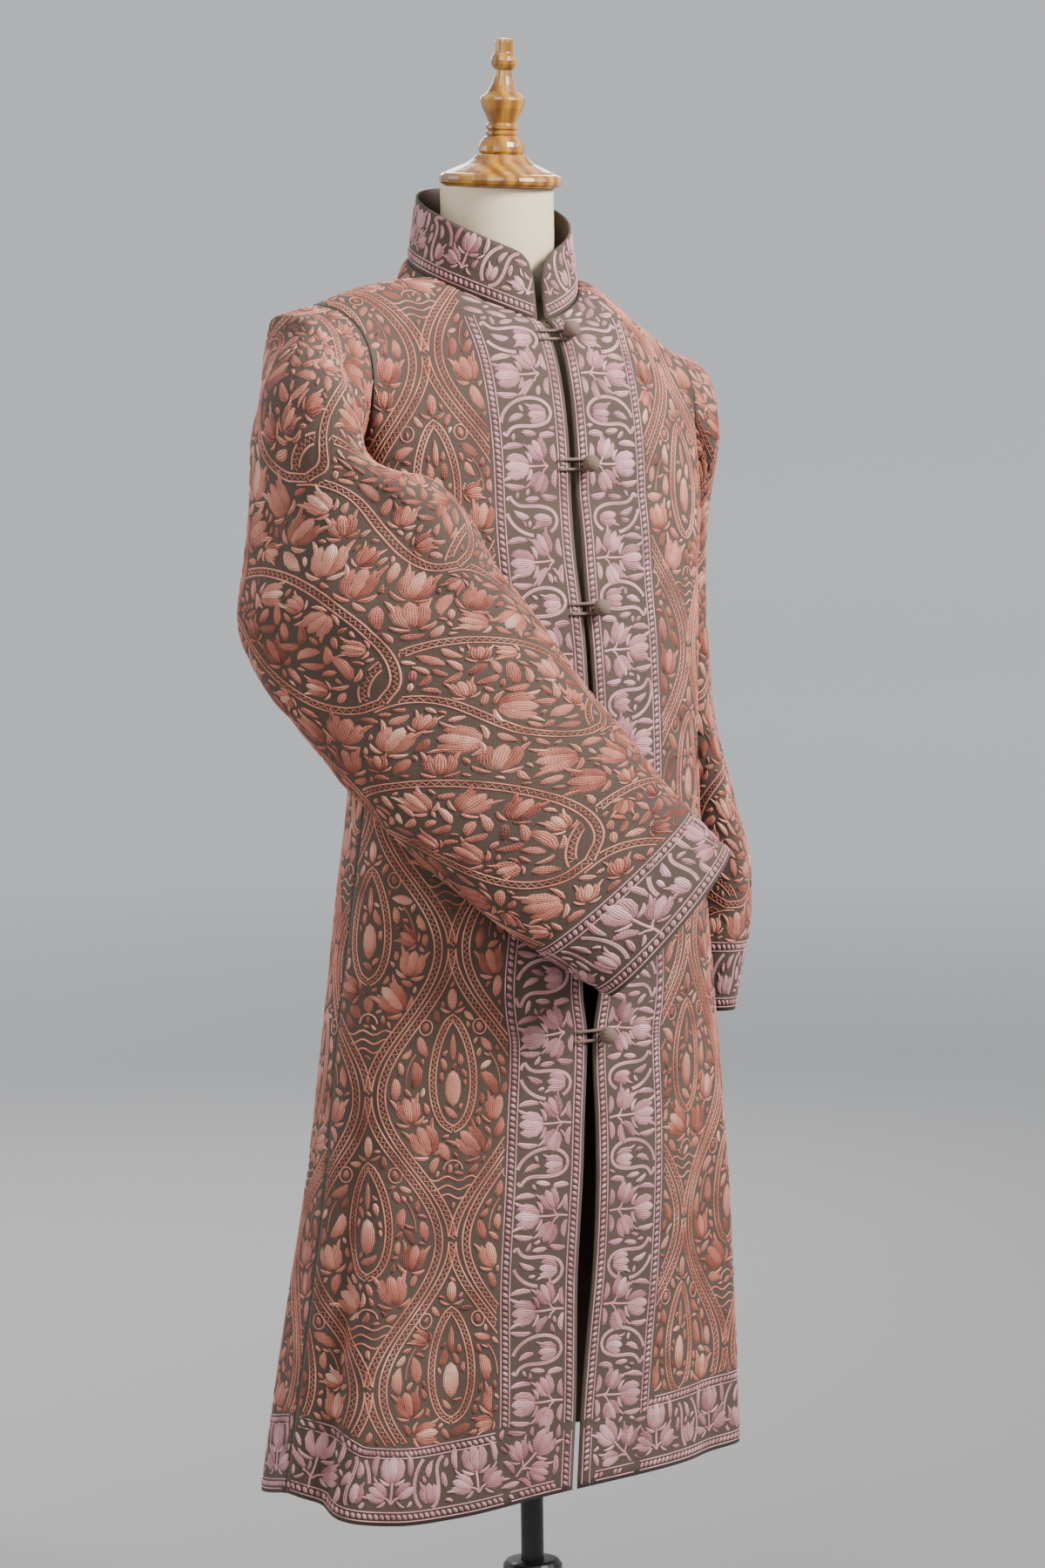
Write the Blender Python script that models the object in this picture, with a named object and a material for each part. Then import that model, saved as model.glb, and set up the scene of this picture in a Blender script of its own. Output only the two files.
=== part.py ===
# Embroidered long jacket on a dress form.
# Frame: metres, +Z up, the origin is the middle of the base's underside, the jacket's front faces -Y
# and the wearer's right hand is at -X.

import math

import bmesh
import bpy
from mathutils import Vector

for old_object in list(bpy.data.objects):
    bpy.data.objects.remove(old_object, do_unlink=True)

# Driving dimensions of the jacket
CLOTH = 0.0022
SEAM_GAP = 0.0003
PANEL_WIDTH = 0.15
HEM_Z = 0.315
ARMPIT_Z = 1.21
SKIRT_ROWS = 20
CHEST_ROWS = 8

# Columns of a panel, as shares of the way from its centre edge to its side seam: the first ones end at
# the neckline, the others at the shoulder seam
NECK_SHARE = 0.36
FRONT_SHARES = [0.0, 0.015, 0.04, 0.09, 0.17, 0.26, NECK_SHARE, 0.48, 0.60, 0.71, 0.82, 0.92, 1.0]
BACK_SHARES = [0.0, 0.12, 0.24, NECK_SHARE, 0.49, 0.62, 0.75, 0.88, 1.0]
NECK_COLUMNS_FRONT = 6
NECK_COLUMNS_BACK = 3

# Levels of the jacket's body, from hem to armpit: the height, the middle's shift to the left, half the
# width, the depth in front of and behind the pole's axis, and how square the section is (2 is an ellipse)
BODY_LEVELS = [
    # z, shift, half_width, front, back, squareness
    (0.315, -0.018, 0.246, 0.100, 0.150, 2.0),
    (0.460, -0.010, 0.228, 0.103, 0.145, 2.0),
    (0.600, -0.002, 0.213, 0.106, 0.140, 2.0),
    (0.716, 0.000, 0.202, 0.106, 0.135, 2.0),
    (0.850, 0.004, 0.186, 0.107, 0.128, 2.1),
    (0.955, 0.006, 0.173, 0.108, 0.118, 2.2),
    (1.067, 0.004, 0.174, 0.105, 0.112, 2.3),
    (1.150, 0.000, 0.180, 0.098, 0.115, 2.4),
    (1.210, 0.000, 0.183, 0.090, 0.118, 2.5),
]

# Width of the gap between the two front edges, by height: closed at each button, slack between them
OPENING_GAPS = [
    # z, gap
    (0.315, 0.006),
    (0.385, 0.006),
    (0.450, 0.011),
    (0.520, 0.017),
    (0.640, 0.013),
    (0.726, 0.007),
    (0.770, 0.018),
    (0.854, 0.006),
    (0.981, 0.005),
    (1.108, 0.005),
    (1.170, 0.008),
    (1.236, 0.005),
    (1.300, 0.009),
    (1.350, 0.005),
    (1.363, 0.008),
]

# Soft folds in the body: where round the body (0 is the centre front, + is the wearer's left), between
# which heights, how far in (-) or out (+), and how wide
BODY_FOLDS = [
    # angle_deg, low_z, high_z, depth, width_deg
    (-72.0, 0.20, 0.80, -0.012, 6.5),
    (-57.0, 0.20, 0.74, 0.007, 8.0),
    (-33.0, 0.20, 0.66, -0.005, 8.0),
    (46.0, 0.20, 0.72, -0.006, 9.0),
    (64.0, 0.20, 0.80, 0.007, 8.0),
    (68.0, 0.86, 1.16, -0.007, 7.0),
    (112.0, 0.20, 0.85, -0.010, 9.0),
    (140.0, 0.20, 0.80, 0.010, 10.0),
    (165.0, 0.20, 0.90, -0.008, 9.0),
    (196.0, 0.20, 0.84, 0.009, 9.0),
    (222.0, 0.20, 0.88, -0.009, 10.0),
    (248.0, 0.20, 0.78, 0.008, 8.0),
]

# Where the hem lifts (+) or dips (-), at which angle and how wide
HEM_LIFTS = [
    # angle_deg, lift, width_deg
    (-38.0, -0.016, 26.0),
    (-86.0, 0.012, 16.0),
    (130.0, -0.008, 30.0),
]

# Neckline and shoulders
NECK_MIDDLE_Y = 0.039
NECK_HALF_WIDTH = 0.076
NECK_HALF_DEPTH = 0.080
NECK_FRONT_Z = 1.363
NECK_BACK_Z = 1.432
NECK_RISE_POWER = 0.6
NECK_SIDE_ANGLE = math.radians(82.0)
SHOULDER_Y = 0.028
SHOULDER_TIPS = {-1: (-0.197, SHOULDER_Y, 1.379), 1: (0.180, SHOULDER_Y, 1.338)}
SHOULDER_ARCHES = {-1: 0.006, 1: -0.003}
ARMHOLE_SCOOP = 0.014
ARMHOLE_FRONT_BULGE = 0.046
ARMHOLE_BACK_BULGE = 0.046

# Collar
COLLAR_HEIGHT = 0.057
COLLAR_WALL = 0.0026
COLLAR_CORNER = 0.020
COLLAR_LEAN_IN = 0.006
COLLAR_LEAN_FORWARD = 0.006
COLLAR_ROWS = 4

# Sleeves: each station gives the outer and the inner edge of the flattened sleeve, how far it bulges to
# the front and to the back of the line between them, and how far its front is turned to the side
SLEEVE_AROUND = 24
SLEEVE_STEPS = 2
RIGHT_SLEEVE = [
    # outer edge,              inner edge,               front, back, turn_deg
    ((-0.233, 0.030, 1.369), (-0.197, 0.006, 1.205), 0.094, 0.052, 0.0),
    ((-0.248, 0.030, 1.316), (-0.188, -0.050, 1.222), 0.092, 0.054, 4.0),
    ((-0.257, 0.027, 1.235), (-0.165, -0.094, 1.230), 0.070, 0.052, 20.0),
    ((-0.273, 0.020, 1.160), (-0.134, -0.118, 1.200), 0.054, 0.048, 40.0),
    ((-0.288, 0.010, 1.106), (-0.114, -0.134, 1.153), 0.050, 0.046, 42.0),
    ((-0.281, -0.004, 1.064), (-0.096, -0.142, 1.128), 0.048, 0.044, 40.0),
    ((-0.262, -0.022, 1.024), (-0.078, -0.150, 1.102), 0.046, 0.042, 38.0),
    ((-0.238, -0.046, 0.986), (-0.060, -0.157, 1.075), 0.044, 0.040, 34.0),
    ((-0.220, -0.068, 0.951), (-0.032, -0.164, 1.036), 0.041, 0.036, 30.0),
    ((-0.179, -0.102, 0.899), (0.000, -0.172, 0.998), 0.038, 0.032, 24.0),
    ((-0.120, -0.134, 0.842), (0.032, -0.180, 0.956), 0.035, 0.028, 20.0),
    ((-0.072, -0.152, 0.805), (0.062, -0.186, 0.924), 0.032, 0.025, 16.0),
    ((-0.021, -0.168, 0.770), (0.093, -0.192, 0.893), 0.030, 0.022, 14.0),
]
LEFT_SLEEVE = [
    # outer edge,             inner edge,              front, back, turn_deg
    ((0.203, 0.032, 1.330), (0.194, 0.012, 1.204), 0.056, 0.054, 0.0),
    ((0.220, 0.046, 1.280), (0.186, 0.034, 1.192), 0.058, 0.058, 4.0),
    ((0.229, 0.066, 1.215), (0.174, 0.058, 1.170), 0.060, 0.060, 6.0),
    ((0.238, 0.082, 1.150), (0.170, 0.076, 1.120), 0.063, 0.062, 6.0),
    ((0.248, 0.092, 1.090), (0.172, 0.088, 1.072), 0.066, 0.064, 6.0),
    ((0.256, 0.098, 1.030), (0.182, 0.092, 1.022), 0.066, 0.064, 6.0),
    ((0.270, 0.100, 0.970), (0.198, 0.094, 0.968), 0.066, 0.062, 6.0),
    ((0.287, 0.098, 0.910), (0.214, 0.092, 0.910), 0.066, 0.060, 6.0),
    ((0.300, 0.094, 0.856), (0.227, 0.088, 0.856), 0.066, 0.060, 6.0),
    ((0.297, 0.090, 0.808), (0.225, 0.084, 0.808), 0.066, 0.060, 6.0),
    ((0.281, 0.090, 0.760), (0.217, 0.084, 0.760), 0.066, 0.060, 6.0),
    ((0.270, 0.092, 0.712), (0.212, 0.086, 0.712), 0.066, 0.060, 6.0),
]
# Deep creases in the sleeves: how far round from the outer edge, between which stations, depth and width
RIGHT_SLEEVE_FOLDS = [
    # angle_deg, first, last, depth, width_deg
    (118.0, 1.4, 5.4, -0.005, 14.0),
    (84.0, 2.0, 5.4, 0.004, 20.0),
    (52.0, 3.4, 7.0, -0.006, 16.0),
    (232.0, 3.0, 7.0, -0.006, 20.0),
]
LEFT_SLEEVE_FOLDS = [
    # angle_deg, first, last, depth, width_deg
    (62.0, 4.6, 9.6, -0.010, 22.0),
    (118.0, 0.8, 5.4, -0.005, 16.0),
    (250.0, 2.0, 8.0, -0.006, 24.0),
]
SLEEVE_CLEARANCE = 0.004
RIGHT_FRONT_CLEARANCE = 0.022

# Buttons and loops
BUTTON_HEIGHTS = [1.350, 1.236, 1.108, 0.981, 0.854, 0.726]
BUTTON_RADIUS = 0.008
SHANK_RADIUS = 0.0024
SHANK_HEIGHT = 0.0040
BUTTON_INSET = 0.0085
LOOP_RADIUS = 0.0014
LOOP_TAIL = 0.013
LOOP_LEG_STEPS = 4
LOOP_BEND_STEPS = 6

# Dress form under the jacket
FORM_WALL = 0.006
FORM_LEVELS = [
    # z, middle_y, half_width, half_depth
    (0.812, 0.004, 0.150, 0.090),
    (0.870, 0.004, 0.160, 0.096),
    (0.955, 0.004, 0.148, 0.088),
    (1.020, 0.006, 0.134, 0.078),
    (1.090, 0.008, 0.144, 0.082),
    (1.160, 0.008, 0.156, 0.084),
    (1.220, 0.010, 0.160, 0.080),
    (1.280, 0.018, 0.162, 0.071),
    (1.312, 0.024, 0.161, 0.053),
]
SHOULDER_LEVELS = [
    # z, half_depth
    (1.338, 0.0420),
    (1.354, 0.0360),
    (1.370, 0.0320),
    (1.382, 0.0280),
]
FORM_SHOULDER_GAP = 0.0010
FORM_SHOULDER_LIMIT = 0.160
FORM_NECK_Y = 0.030
FORM_NECK_LEVELS = [
    # z, half_width, half_depth
    (1.396, 0.0550, 0.0470),
    (1.412, 0.0520, 0.0500),
    (1.450, 0.0515, 0.0515),
    (1.486, 0.0515, 0.0515),
]
FORM_TOP_Z = 1.486
FORM_TORSO_RINGS = 10
FORM_AROUND = 24
FORM_BOARD = 0.012
CAP_HEIGHT = 0.0286
CAP_Y = 0.024
NECK_TOP_LEAN = math.radians(4.5)

# Stand
POLE_RADIUS = 0.0105
TUBE_BORE = 0.0108
TUBE_RADIUS = 0.0140
POLE_FOOT_Z = 0.060
HUB_LOW_Z = 0.176
HUB_HIGH_Z = 0.224
HUB_RADIUS = 0.0275
KNOB_Z = 0.211
KNOB_RADIUS = 0.0125
KNOB_LENGTH = 0.018
KNOB_SCREW_RADIUS = 0.0030
BASE_RADIUS = 0.190
BASE_THICKNESS = 0.014
SOCKET_RADIUS = 0.024
SOCKET_HEIGHT = 0.045
ROUND_SEGMENTS = 24


def smooth_between(rows, at):
    """Value of every column but the first, on a smooth curve through a table whose first column rises."""
    columns = len(rows[0])
    if at <= rows[0][0]:
        return list(rows[0][1:])
    if at >= rows[-1][0]:
        return list(rows[-1][1:])
    index = max(i for i in range(len(rows) - 1) if rows[i][0] <= at)
    low = rows[index]
    high = rows[index + 1]
    before = rows[max(index - 1, 0)]
    after = rows[min(index + 2, len(rows) - 1)]
    span = high[0] - low[0]
    share = (at - low[0]) / span
    values = []
    for column in range(1, columns):
        slope_low = (high[column] - before[column]) / (high[0] - before[0]) * span
        slope_high = (after[column] - low[column]) / (after[0] - low[0]) * span
        step = high[column] - low[column]
        curve = (2 * share ** 3 - 3 * share ** 2 + 1) * low[column]
        curve += (share ** 3 - 2 * share ** 2 + share) * slope_low
        curve += (3 * share ** 2 - 2 * share ** 3) * high[column]
        curve += (share ** 3 - share ** 2) * slope_high
        flat = low[column] + step * share
        values.append(curve if step else flat)
    return values


def signed_power(value, power):
    return math.copysign(abs(value) ** power, value)


def soft_step(value, low, high):
    share = min(max((value - low) / (high - low), 0.0), 1.0)
    return share * share * (3 - 2 * share)


def wrapped(angle_deg):
    """The same angle between -180 and 180 degrees."""
    return (angle_deg + 180.0) % 360.0 - 180.0


def hem_height(angle_deg):
    """The hem's height, which dips and lifts a little round the skirt."""
    height = HEM_Z
    for middle_deg, lift, width_deg in HEM_LIFTS:
        height += lift * math.exp(-(wrapped(angle_deg - middle_deg) / width_deg) ** 2)
    return height


def opening_gap(z):
    return smooth_between(OPENING_GAPS, z)[0]


def fold_depth(angle, z):
    """How far the soft folds push the body's cloth out at this angle and height."""
    total = 0.0
    for angle_deg, low_z, high_z, depth, width_deg in BODY_FOLDS:
        off = wrapped(math.degrees(angle) - angle_deg) / width_deg
        fade = 1.0 - soft_step(z, low_z + 0.35 * (high_z - low_z), high_z)
        total += depth * fade * math.exp(-off * off)
    return total


def body_point(angle, z):
    """A point of the jacket's body below the armpits; angle 0 is the centre front, + the wearer's left."""
    shift, half_width, front, back, squareness = smooth_between(BODY_LEVELS, z)
    depth = front if math.cos(angle) > 0 else back
    fold = fold_depth(angle, z)
    x = (half_width + fold) * signed_power(math.sin(angle), 2.0 / squareness)
    y = -(depth + fold) * signed_power(math.cos(angle), 2.0 / squareness)
    return Vector((shift + x, y, z))


def neck_point(angle):
    """A point of the neckline; angle 0 is the centre front."""
    rise = (0.5 - 0.5 * math.cos(angle)) ** NECK_RISE_POWER
    z = NECK_FRONT_Z + (NECK_BACK_Z - NECK_FRONT_Z) * rise
    x = NECK_HALF_WIDTH * math.sin(angle)
    y = NECK_MIDDLE_Y - NECK_HALF_DEPTH * math.cos(angle)
    return Vector((x, y, z))


def top_edge(side, is_front, share):
    """The panel's top edge: the neckline up to NECK_SHARE, then the shoulder seam to its tip."""
    neck_side = neck_point(side * NECK_SIDE_ANGLE)
    if share >= NECK_SHARE:
        along = (share - NECK_SHARE) / (1.0 - NECK_SHARE)
        point = neck_side.lerp(Vector(SHOULDER_TIPS[side]), along)
        point.z += SHOULDER_ARCHES[side] * math.sin(math.pi * along)
        return point
    along = share / NECK_SHARE
    if is_front:
        start = math.asin(0.5 * opening_gap(NECK_FRONT_Z) / NECK_HALF_WIDTH)
        return neck_point(side * (start + (NECK_SIDE_ANGLE - start) * along))
    return neck_point(side * (math.pi + (NECK_SIDE_ANGLE - math.pi) * along))


def chest_point(side, is_front, share, rise):
    """A point above the armpits: share runs from the centre to the armhole, rise from armpit to top."""
    low = lower_point(side, is_front, share, ARMPIT_Z)
    high = top_edge(side, is_front, share)
    up = math.sin(rise * math.pi / 2)
    back_in = 1.0 - math.cos(rise * math.pi / 2)
    near_arm = max(0.0, (share - 0.5) / 0.5) ** 2
    swell = math.sin(math.pi * rise) * near_arm
    bulge = -ARMHOLE_FRONT_BULGE if is_front else ARMHOLE_BACK_BULGE
    x = low.x + (high.x - low.x) * rise - side * ARMHOLE_SCOOP * swell
    y = low.y + (high.y - low.y) * back_in + bulge * swell
    z = low.z + (high.z - low.z) * up
    return Vector((x, y, z))


def lower_point(side, is_front, share, z):
    """A point below the armpits: share runs from the centre front or centre back to the side seam."""
    seam = math.pi / 2
    if not is_front:
        return body_point(side * (math.pi + (seam - math.pi) * share), z)
    half_width = smooth_between(BODY_LEVELS, z)[1]
    squareness = smooth_between(BODY_LEVELS, z)[4]
    start = math.asin((0.5 * opening_gap(z) / half_width) ** (squareness / 2.0))
    return body_point(side * (start + (seam - start) * share), z)


def panel_point(side, is_front, share, row):
    """A point of a body panel by row number, counted up from the hem."""
    if row <= SKIRT_ROWS:
        hem = hem_height(side * (90.0 * share if is_front else 180.0 - 90.0 * share))
        z = hem + (ARMPIT_Z - hem) * row / SKIRT_ROWS
        return lower_point(side, is_front, share, z)
    return chest_point(side, is_front, share, (row - SKIRT_ROWS) / CHEST_ROWS)


def inward(point):
    """Direction from the cloth to the middle of the body, the same for panels that meet at a seam."""
    middle = Vector((0.55 * point.x, 0.020, min(point.z, 1.30)))
    return (middle - point).normalized()


def halved(test, low, high):
    """Where test turns from false to true between low and high, by halving."""
    for _ in range(14):
        middle = (low + high) / 2
        if test(middle):
            high = middle
        else:
            low = middle
    return (low + high) / 2


def front_at_share(side, share, z):
    """The point of a front at a share of its width and a height."""
    if z <= ARMPIT_Z:
        return lower_point(side, True, share, z)
    rise = halved(lambda value: chest_point(side, True, share, value).z >= z, 0.0, 1.0)
    return chest_point(side, True, share, rise)


def front_surface(x, z):
    """The point of the fronts' outside at a width and a height; the opening counts as its nearer edge."""
    middle = smooth_between(BODY_LEVELS, z)[0] if z <= ARMPIT_Z else 0.0
    side = 1 if x >= middle else -1
    edge = front_at_share(side, 0.0, z)
    if side * (x - edge.x) <= 0:
        return Vector((x, edge.y, z))
    share = halved(lambda value: side * (front_at_share(side, value, z).x - x) >= 0, 0.0, 0.5)
    return front_at_share(side, share, z)


def material(name, colour, roughness, metallic=0.0):
    made = bpy.data.materials.new(name)
    made.use_nodes = True
    shader = made.node_tree.nodes["Principled BSDF"]
    shader.inputs["Base Color"].default_value = (*colour, 1.0)
    shader.inputs["Roughness"].default_value = roughness
    shader.inputs["Metallic"].default_value = metallic
    made.diffuse_color = (*colour, 1.0)
    return made


def add_object(name, points, faces, finish, smooth=True):
    """A closed mesh object with its faces pointing out."""
    mesh = bpy.data.meshes.new(name)
    work = bmesh.new()
    corners = [work.verts.new(point) for point in points]
    for face in faces:
        work.faces.new([corners[index] for index in face])
    bmesh.ops.recalc_face_normals(work, faces=work.faces)
    work.to_mesh(mesh)
    work.free()
    if smooth:
        mesh.shade_smooth()
        mesh.set_sharp_from_angle(angle=math.radians(40))
    mesh.materials.append(finish)
    made = bpy.data.objects.new(name, mesh)
    bpy.context.scene.collection.objects.link(made)
    return made


def wall(name, outer, inner, finish, closed=False):
    """A thin closed wall from two grids of points of the same size; closed joins its first and last column."""
    rows = len(outer)
    columns = len(outer[0])
    points = [p for row in outer for p in row] + [p for row in inner for p in row]
    inner_start = rows * columns
    faces = []
    spans = columns if closed else columns - 1
    for row in range(rows - 1):
        for column in range(spans):
            after = (column + 1) % columns
            quad = [row * columns + column, row * columns + after]
            quad += [(row + 1) * columns + after, (row + 1) * columns + column]
            faces.append(quad)
            faces.append([inner_start + index for index in reversed(quad)])
    for column in range(spans):
        after = (column + 1) % columns
        last = (rows - 1) * columns
        faces.append([after, column, inner_start + column, inner_start + after])
        faces.append([last + column, last + after, inner_start + last + after, inner_start + last + column])
    if not closed:
        for row in range(rows - 1):
            near = row * columns
            above = (row + 1) * columns
            faces.append([near, above, inner_start + above, inner_start + near])
            end = near + columns - 1
            end_above = above + columns - 1
            faces.append([end_above, end, inner_start + end, inner_start + end_above])
    return add_object(name, points, faces, finish)


def turned(name, profile, finish, segments=ROUND_SEGMENTS, closed_profile=False):
    """A solid turned round a vertical axis from (radius, z) pairs; radius 0 closes an end."""
    points = []
    rings = []
    for radius, z in profile:
        if radius == 0:
            rings.append([len(points)])
            points.append(Vector((0, 0, z)))
            continue
        rings.append(list(range(len(points), len(points) + segments)))
        for step in range(segments):
            turn = 2 * math.pi * step / segments
            points.append(Vector((radius * math.cos(turn), radius * math.sin(turn), z)))
    pairs = list(zip(rings, rings[1:]))
    if closed_profile:
        pairs.append((rings[-1], rings[0]))
    faces = []
    for low, high in pairs:
        for step in range(segments):
            after = (step + 1) % segments
            if len(low) == 1:
                faces.append([low[0], high[step], high[after]])
            elif len(high) == 1:
                faces.append([low[step], low[after], high[0]])
            else:
                faces.append([low[step], low[after], high[after], high[step]])
    return add_object(name, points, faces, finish)


def tube(name, path, radius, sides, finish):
    """A round cord with flat ends along a list of points."""
    points = []
    up_hint = Vector((0, 1, 0))
    for index, point in enumerate(path):
        ahead = path[min(index + 1, len(path) - 1)]
        behind = path[max(index - 1, 0)]
        along = (ahead - behind).normalized()
        across = along.cross(up_hint).normalized()
        up = across.cross(along)
        for side in range(sides):
            turn = 2 * math.pi * side / sides
            points.append(point + radius * (across * math.cos(turn) + up * math.sin(turn)))
    faces = [list(range(sides))]
    for ring in range(len(path) - 1):
        for side in range(sides):
            after = (side + 1) % sides
            low = ring * sides
            high = low + sides
            faces.append([low + side, low + after, high + after, high + side])
    faces.append(list(range(len(points) - sides, len(points))))
    return add_object(name, points, faces, finish)


def trimmed(shares):
    """A panel's columns with the last one pulled back from the side seam by half the seam gap."""
    return shares[:-1] + [shares[-1] - 0.5 * SEAM_GAP / PANEL_WIDTH]


def front_panel(name, side, finish):
    """A front, from its centre edge to the side seam and up to the neckline, shoulder and armhole."""
    outer = []
    inner = []
    for row in range(SKIRT_ROWS + CHEST_ROWS + 1):
        line = [panel_point(side, True, share, row) for share in trimmed(FRONT_SHARES)]
        if row == SKIRT_ROWS + CHEST_ROWS:
            line = [point + Vector((0, -SEAM_GAP, 0)) for point in line]
        outer.append(line)
        inner.append([point + inward(point) * CLOTH for point in line])
    return wall(name, outer, inner, finish)


def back_panel(name, finish):
    """The back in one width, from side seam to side seam."""
    outer = []
    inner = []
    shares = trimmed(BACK_SHARES)
    for row in range(SKIRT_ROWS + CHEST_ROWS + 1):
        line = [panel_point(-1, False, share, row) for share in reversed(shares)]
        line += [panel_point(1, False, share, row) for share in shares[1:]]
        if row == SKIRT_ROWS + CHEST_ROWS:
            line = [point + Vector((0, SEAM_GAP, 0)) for point in line]
        outer.append(line)
        inner.append([point + inward(point) * CLOTH for point in line])
    return wall(name, outer, inner, finish)


def armhole_ring(side):
    """The armhole's edge as a loop of points: tip, down the front, armpit, up the back."""
    half = SLEEVE_AROUND // 2
    ring = []
    for index in range(half):
        ring.append(chest_point(side, True, 1.0, 1.0 - index / half))
    for index in range(half):
        ring.append(chest_point(side, False, 1.0, index / half))
    return ring


def clear_of_body(point, clearance):
    """Move a point straight out until it lies clear of the jacket's body at its height."""
    level = min(point.z, ARMPIT_Z)
    shift, half_width, front, back, squareness = smooth_between(BODY_LEVELS, level)
    across = half_width + clearance + 0.004
    deep = (front if point.y < 0 else back) + clearance + 0.004
    x = (point.x - shift) / across
    y = point.y / deep
    reach = (abs(x) ** squareness + abs(y) ** squareness) ** (1.0 / squareness)
    if reach >= 1.0 or reach == 0.0:
        return point
    return Vector((shift + (point.x - shift) / reach, point.y / reach, point.z))


def sleeve_rings(side, stations, folds, front_clearance):
    """Rings of the sleeve's outside, from the armhole to the cuff."""
    ring = armhole_ring(side)
    rings = [[point + Vector((side * 2 * SEAM_GAP, 0, 0)) for point in ring]]
    table = []
    for number, (outer_edge, inner_edge, front, back, turn_deg) in enumerate(stations):
        table.append((float(number), *outer_edge, *inner_edge, front, back, turn_deg))
    count = (len(stations) - 1) * SLEEVE_STEPS
    for step in range(count + 1):
        place = step / SLEEVE_STEPS
        values = smooth_between(table, place)
        outer_edge = Vector(values[0:3])
        inner_edge = Vector(values[3:6])
        middle = (outer_edge + inner_edge) / 2
        half = (outer_edge - inner_edge) / 2
        turned_by = math.radians(values[8])
        facing = Vector((side * math.sin(turned_by), -math.cos(turned_by), 0))
        facing -= half * (facing.dot(half) / half.length_squared)
        facing.normalize()
        line = []
        for index in range(SLEEVE_AROUND):
            turn = 2 * math.pi * index / SLEEVE_AROUND
            bulge = values[6] if math.sin(turn) > 0 else values[7]
            for angle_deg, first, last, depth, width_deg in folds:
                off = wrapped(math.degrees(turn) - angle_deg) / width_deg
                ends = soft_step(place, first, first + 1.0) * (1.0 - soft_step(place, last - 1.0, last))
                bulge += depth * ends * math.exp(-off * off) / max(abs(math.sin(turn)), 0.4)
            point = middle + half * math.cos(turn) + facing * bulge * math.sin(turn)
            grown = min(1.0, (place + 0.15) / 1.5)
            near_front = soft_step(-point.y, 0.03, 0.09)
            clearance = SLEEVE_CLEARANCE + (front_clearance - SLEEVE_CLEARANCE) * near_front
            line.append(clear_of_body(point, clearance * grown))
        rings.append(line)
    return rings


def sleeve(name, side, stations, folds, front_clearance, finish):
    """A sleeve as a thin tube, open at the armhole and at the cuff."""
    outer = sleeve_rings(side, stations, folds, front_clearance)
    inner = []
    for line in outer:
        middle = sum(line, Vector()) / len(line)
        inner.append([])
        for index, point in enumerate(line):
            before = line[index - 1]
            after = line[(index + 1) % len(line)]
            to_middle = (middle - point).normalized()
            edge = (after - before).normalized()
            across = to_middle - edge * to_middle.dot(edge)
            inner[-1].append(point + across.normalized() * CLOTH)
    return wall(name, outer, inner, finish, closed=True)


def collar_columns():
    """Angles round the neck at the panels' own columns, from the right front edge round to the left one."""
    first = math.asin(0.5 * opening_gap(NECK_FRONT_Z) / NECK_HALF_WIDTH)
    front = []
    for share in FRONT_SHARES[:NECK_COLUMNS_FRONT + 1]:
        front.append(first + (NECK_SIDE_ANGLE - first) * share / NECK_SHARE)
    back = []
    for share in BACK_SHARES[:NECK_COLUMNS_BACK]:
        back.append(math.pi + (NECK_SIDE_ANGLE - math.pi) * share / NECK_SHARE)
    half = front + back[::-1]
    return [-angle for angle in half[:-1]] + [half[-1]] + half[:-1][::-1]


def collar_height(angle):
    """The collar's height, rounded off at its two front corners."""
    first = math.asin(0.5 * opening_gap(NECK_FRONT_Z) / NECK_HALF_WIDTH)
    from_edge = (abs(angle) - first) * NECK_HALF_DEPTH
    if from_edge >= COLLAR_CORNER:
        return COLLAR_HEIGHT
    drop = COLLAR_CORNER - math.sqrt(COLLAR_CORNER ** 2 - (COLLAR_CORNER - from_edge) ** 2)
    return COLLAR_HEIGHT - drop


def collar_point(angle, rise, inset):
    """A point of the collar: angle round the neck, rise from the neck seam to the top edge."""
    point = neck_point(angle)
    direction = Vector((math.sin(angle), -math.cos(angle), 0))
    point -= direction * (rise * COLLAR_LEAN_IN + inset)
    point.y -= rise * COLLAR_LEAN_FORWARD * (0.5 - 0.5 * math.cos(angle))
    point.z += 2 * SEAM_GAP + rise * collar_height(angle)
    return point


def collar(name, finish):
    """The stand collar, open at the centre front."""
    outer = []
    inner = []
    angles = collar_columns()
    for row in range(COLLAR_ROWS + 1):
        rise = row / COLLAR_ROWS
        outer.append([collar_point(angle, rise, 0.0) for angle in angles])
        inner.append([collar_point(angle, rise, COLLAR_WALL) for angle in angles])
    return wall(name, outer, inner, finish)


def button_place(z):
    """Where a button's shank stands on the left front, and the directions out of and up the cloth."""
    foot = front_at_share(1, 0.0, z) + Vector((BUTTON_INSET, 0, 0))
    foot = front_surface(foot.x, z)
    up = (front_surface(foot.x, z + 0.004) - front_surface(foot.x, z - 0.004)).normalized()
    out = up.cross(Vector((1, 0, 0))).normalized()
    return foot, out if out.y < 0 else -out, up


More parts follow.
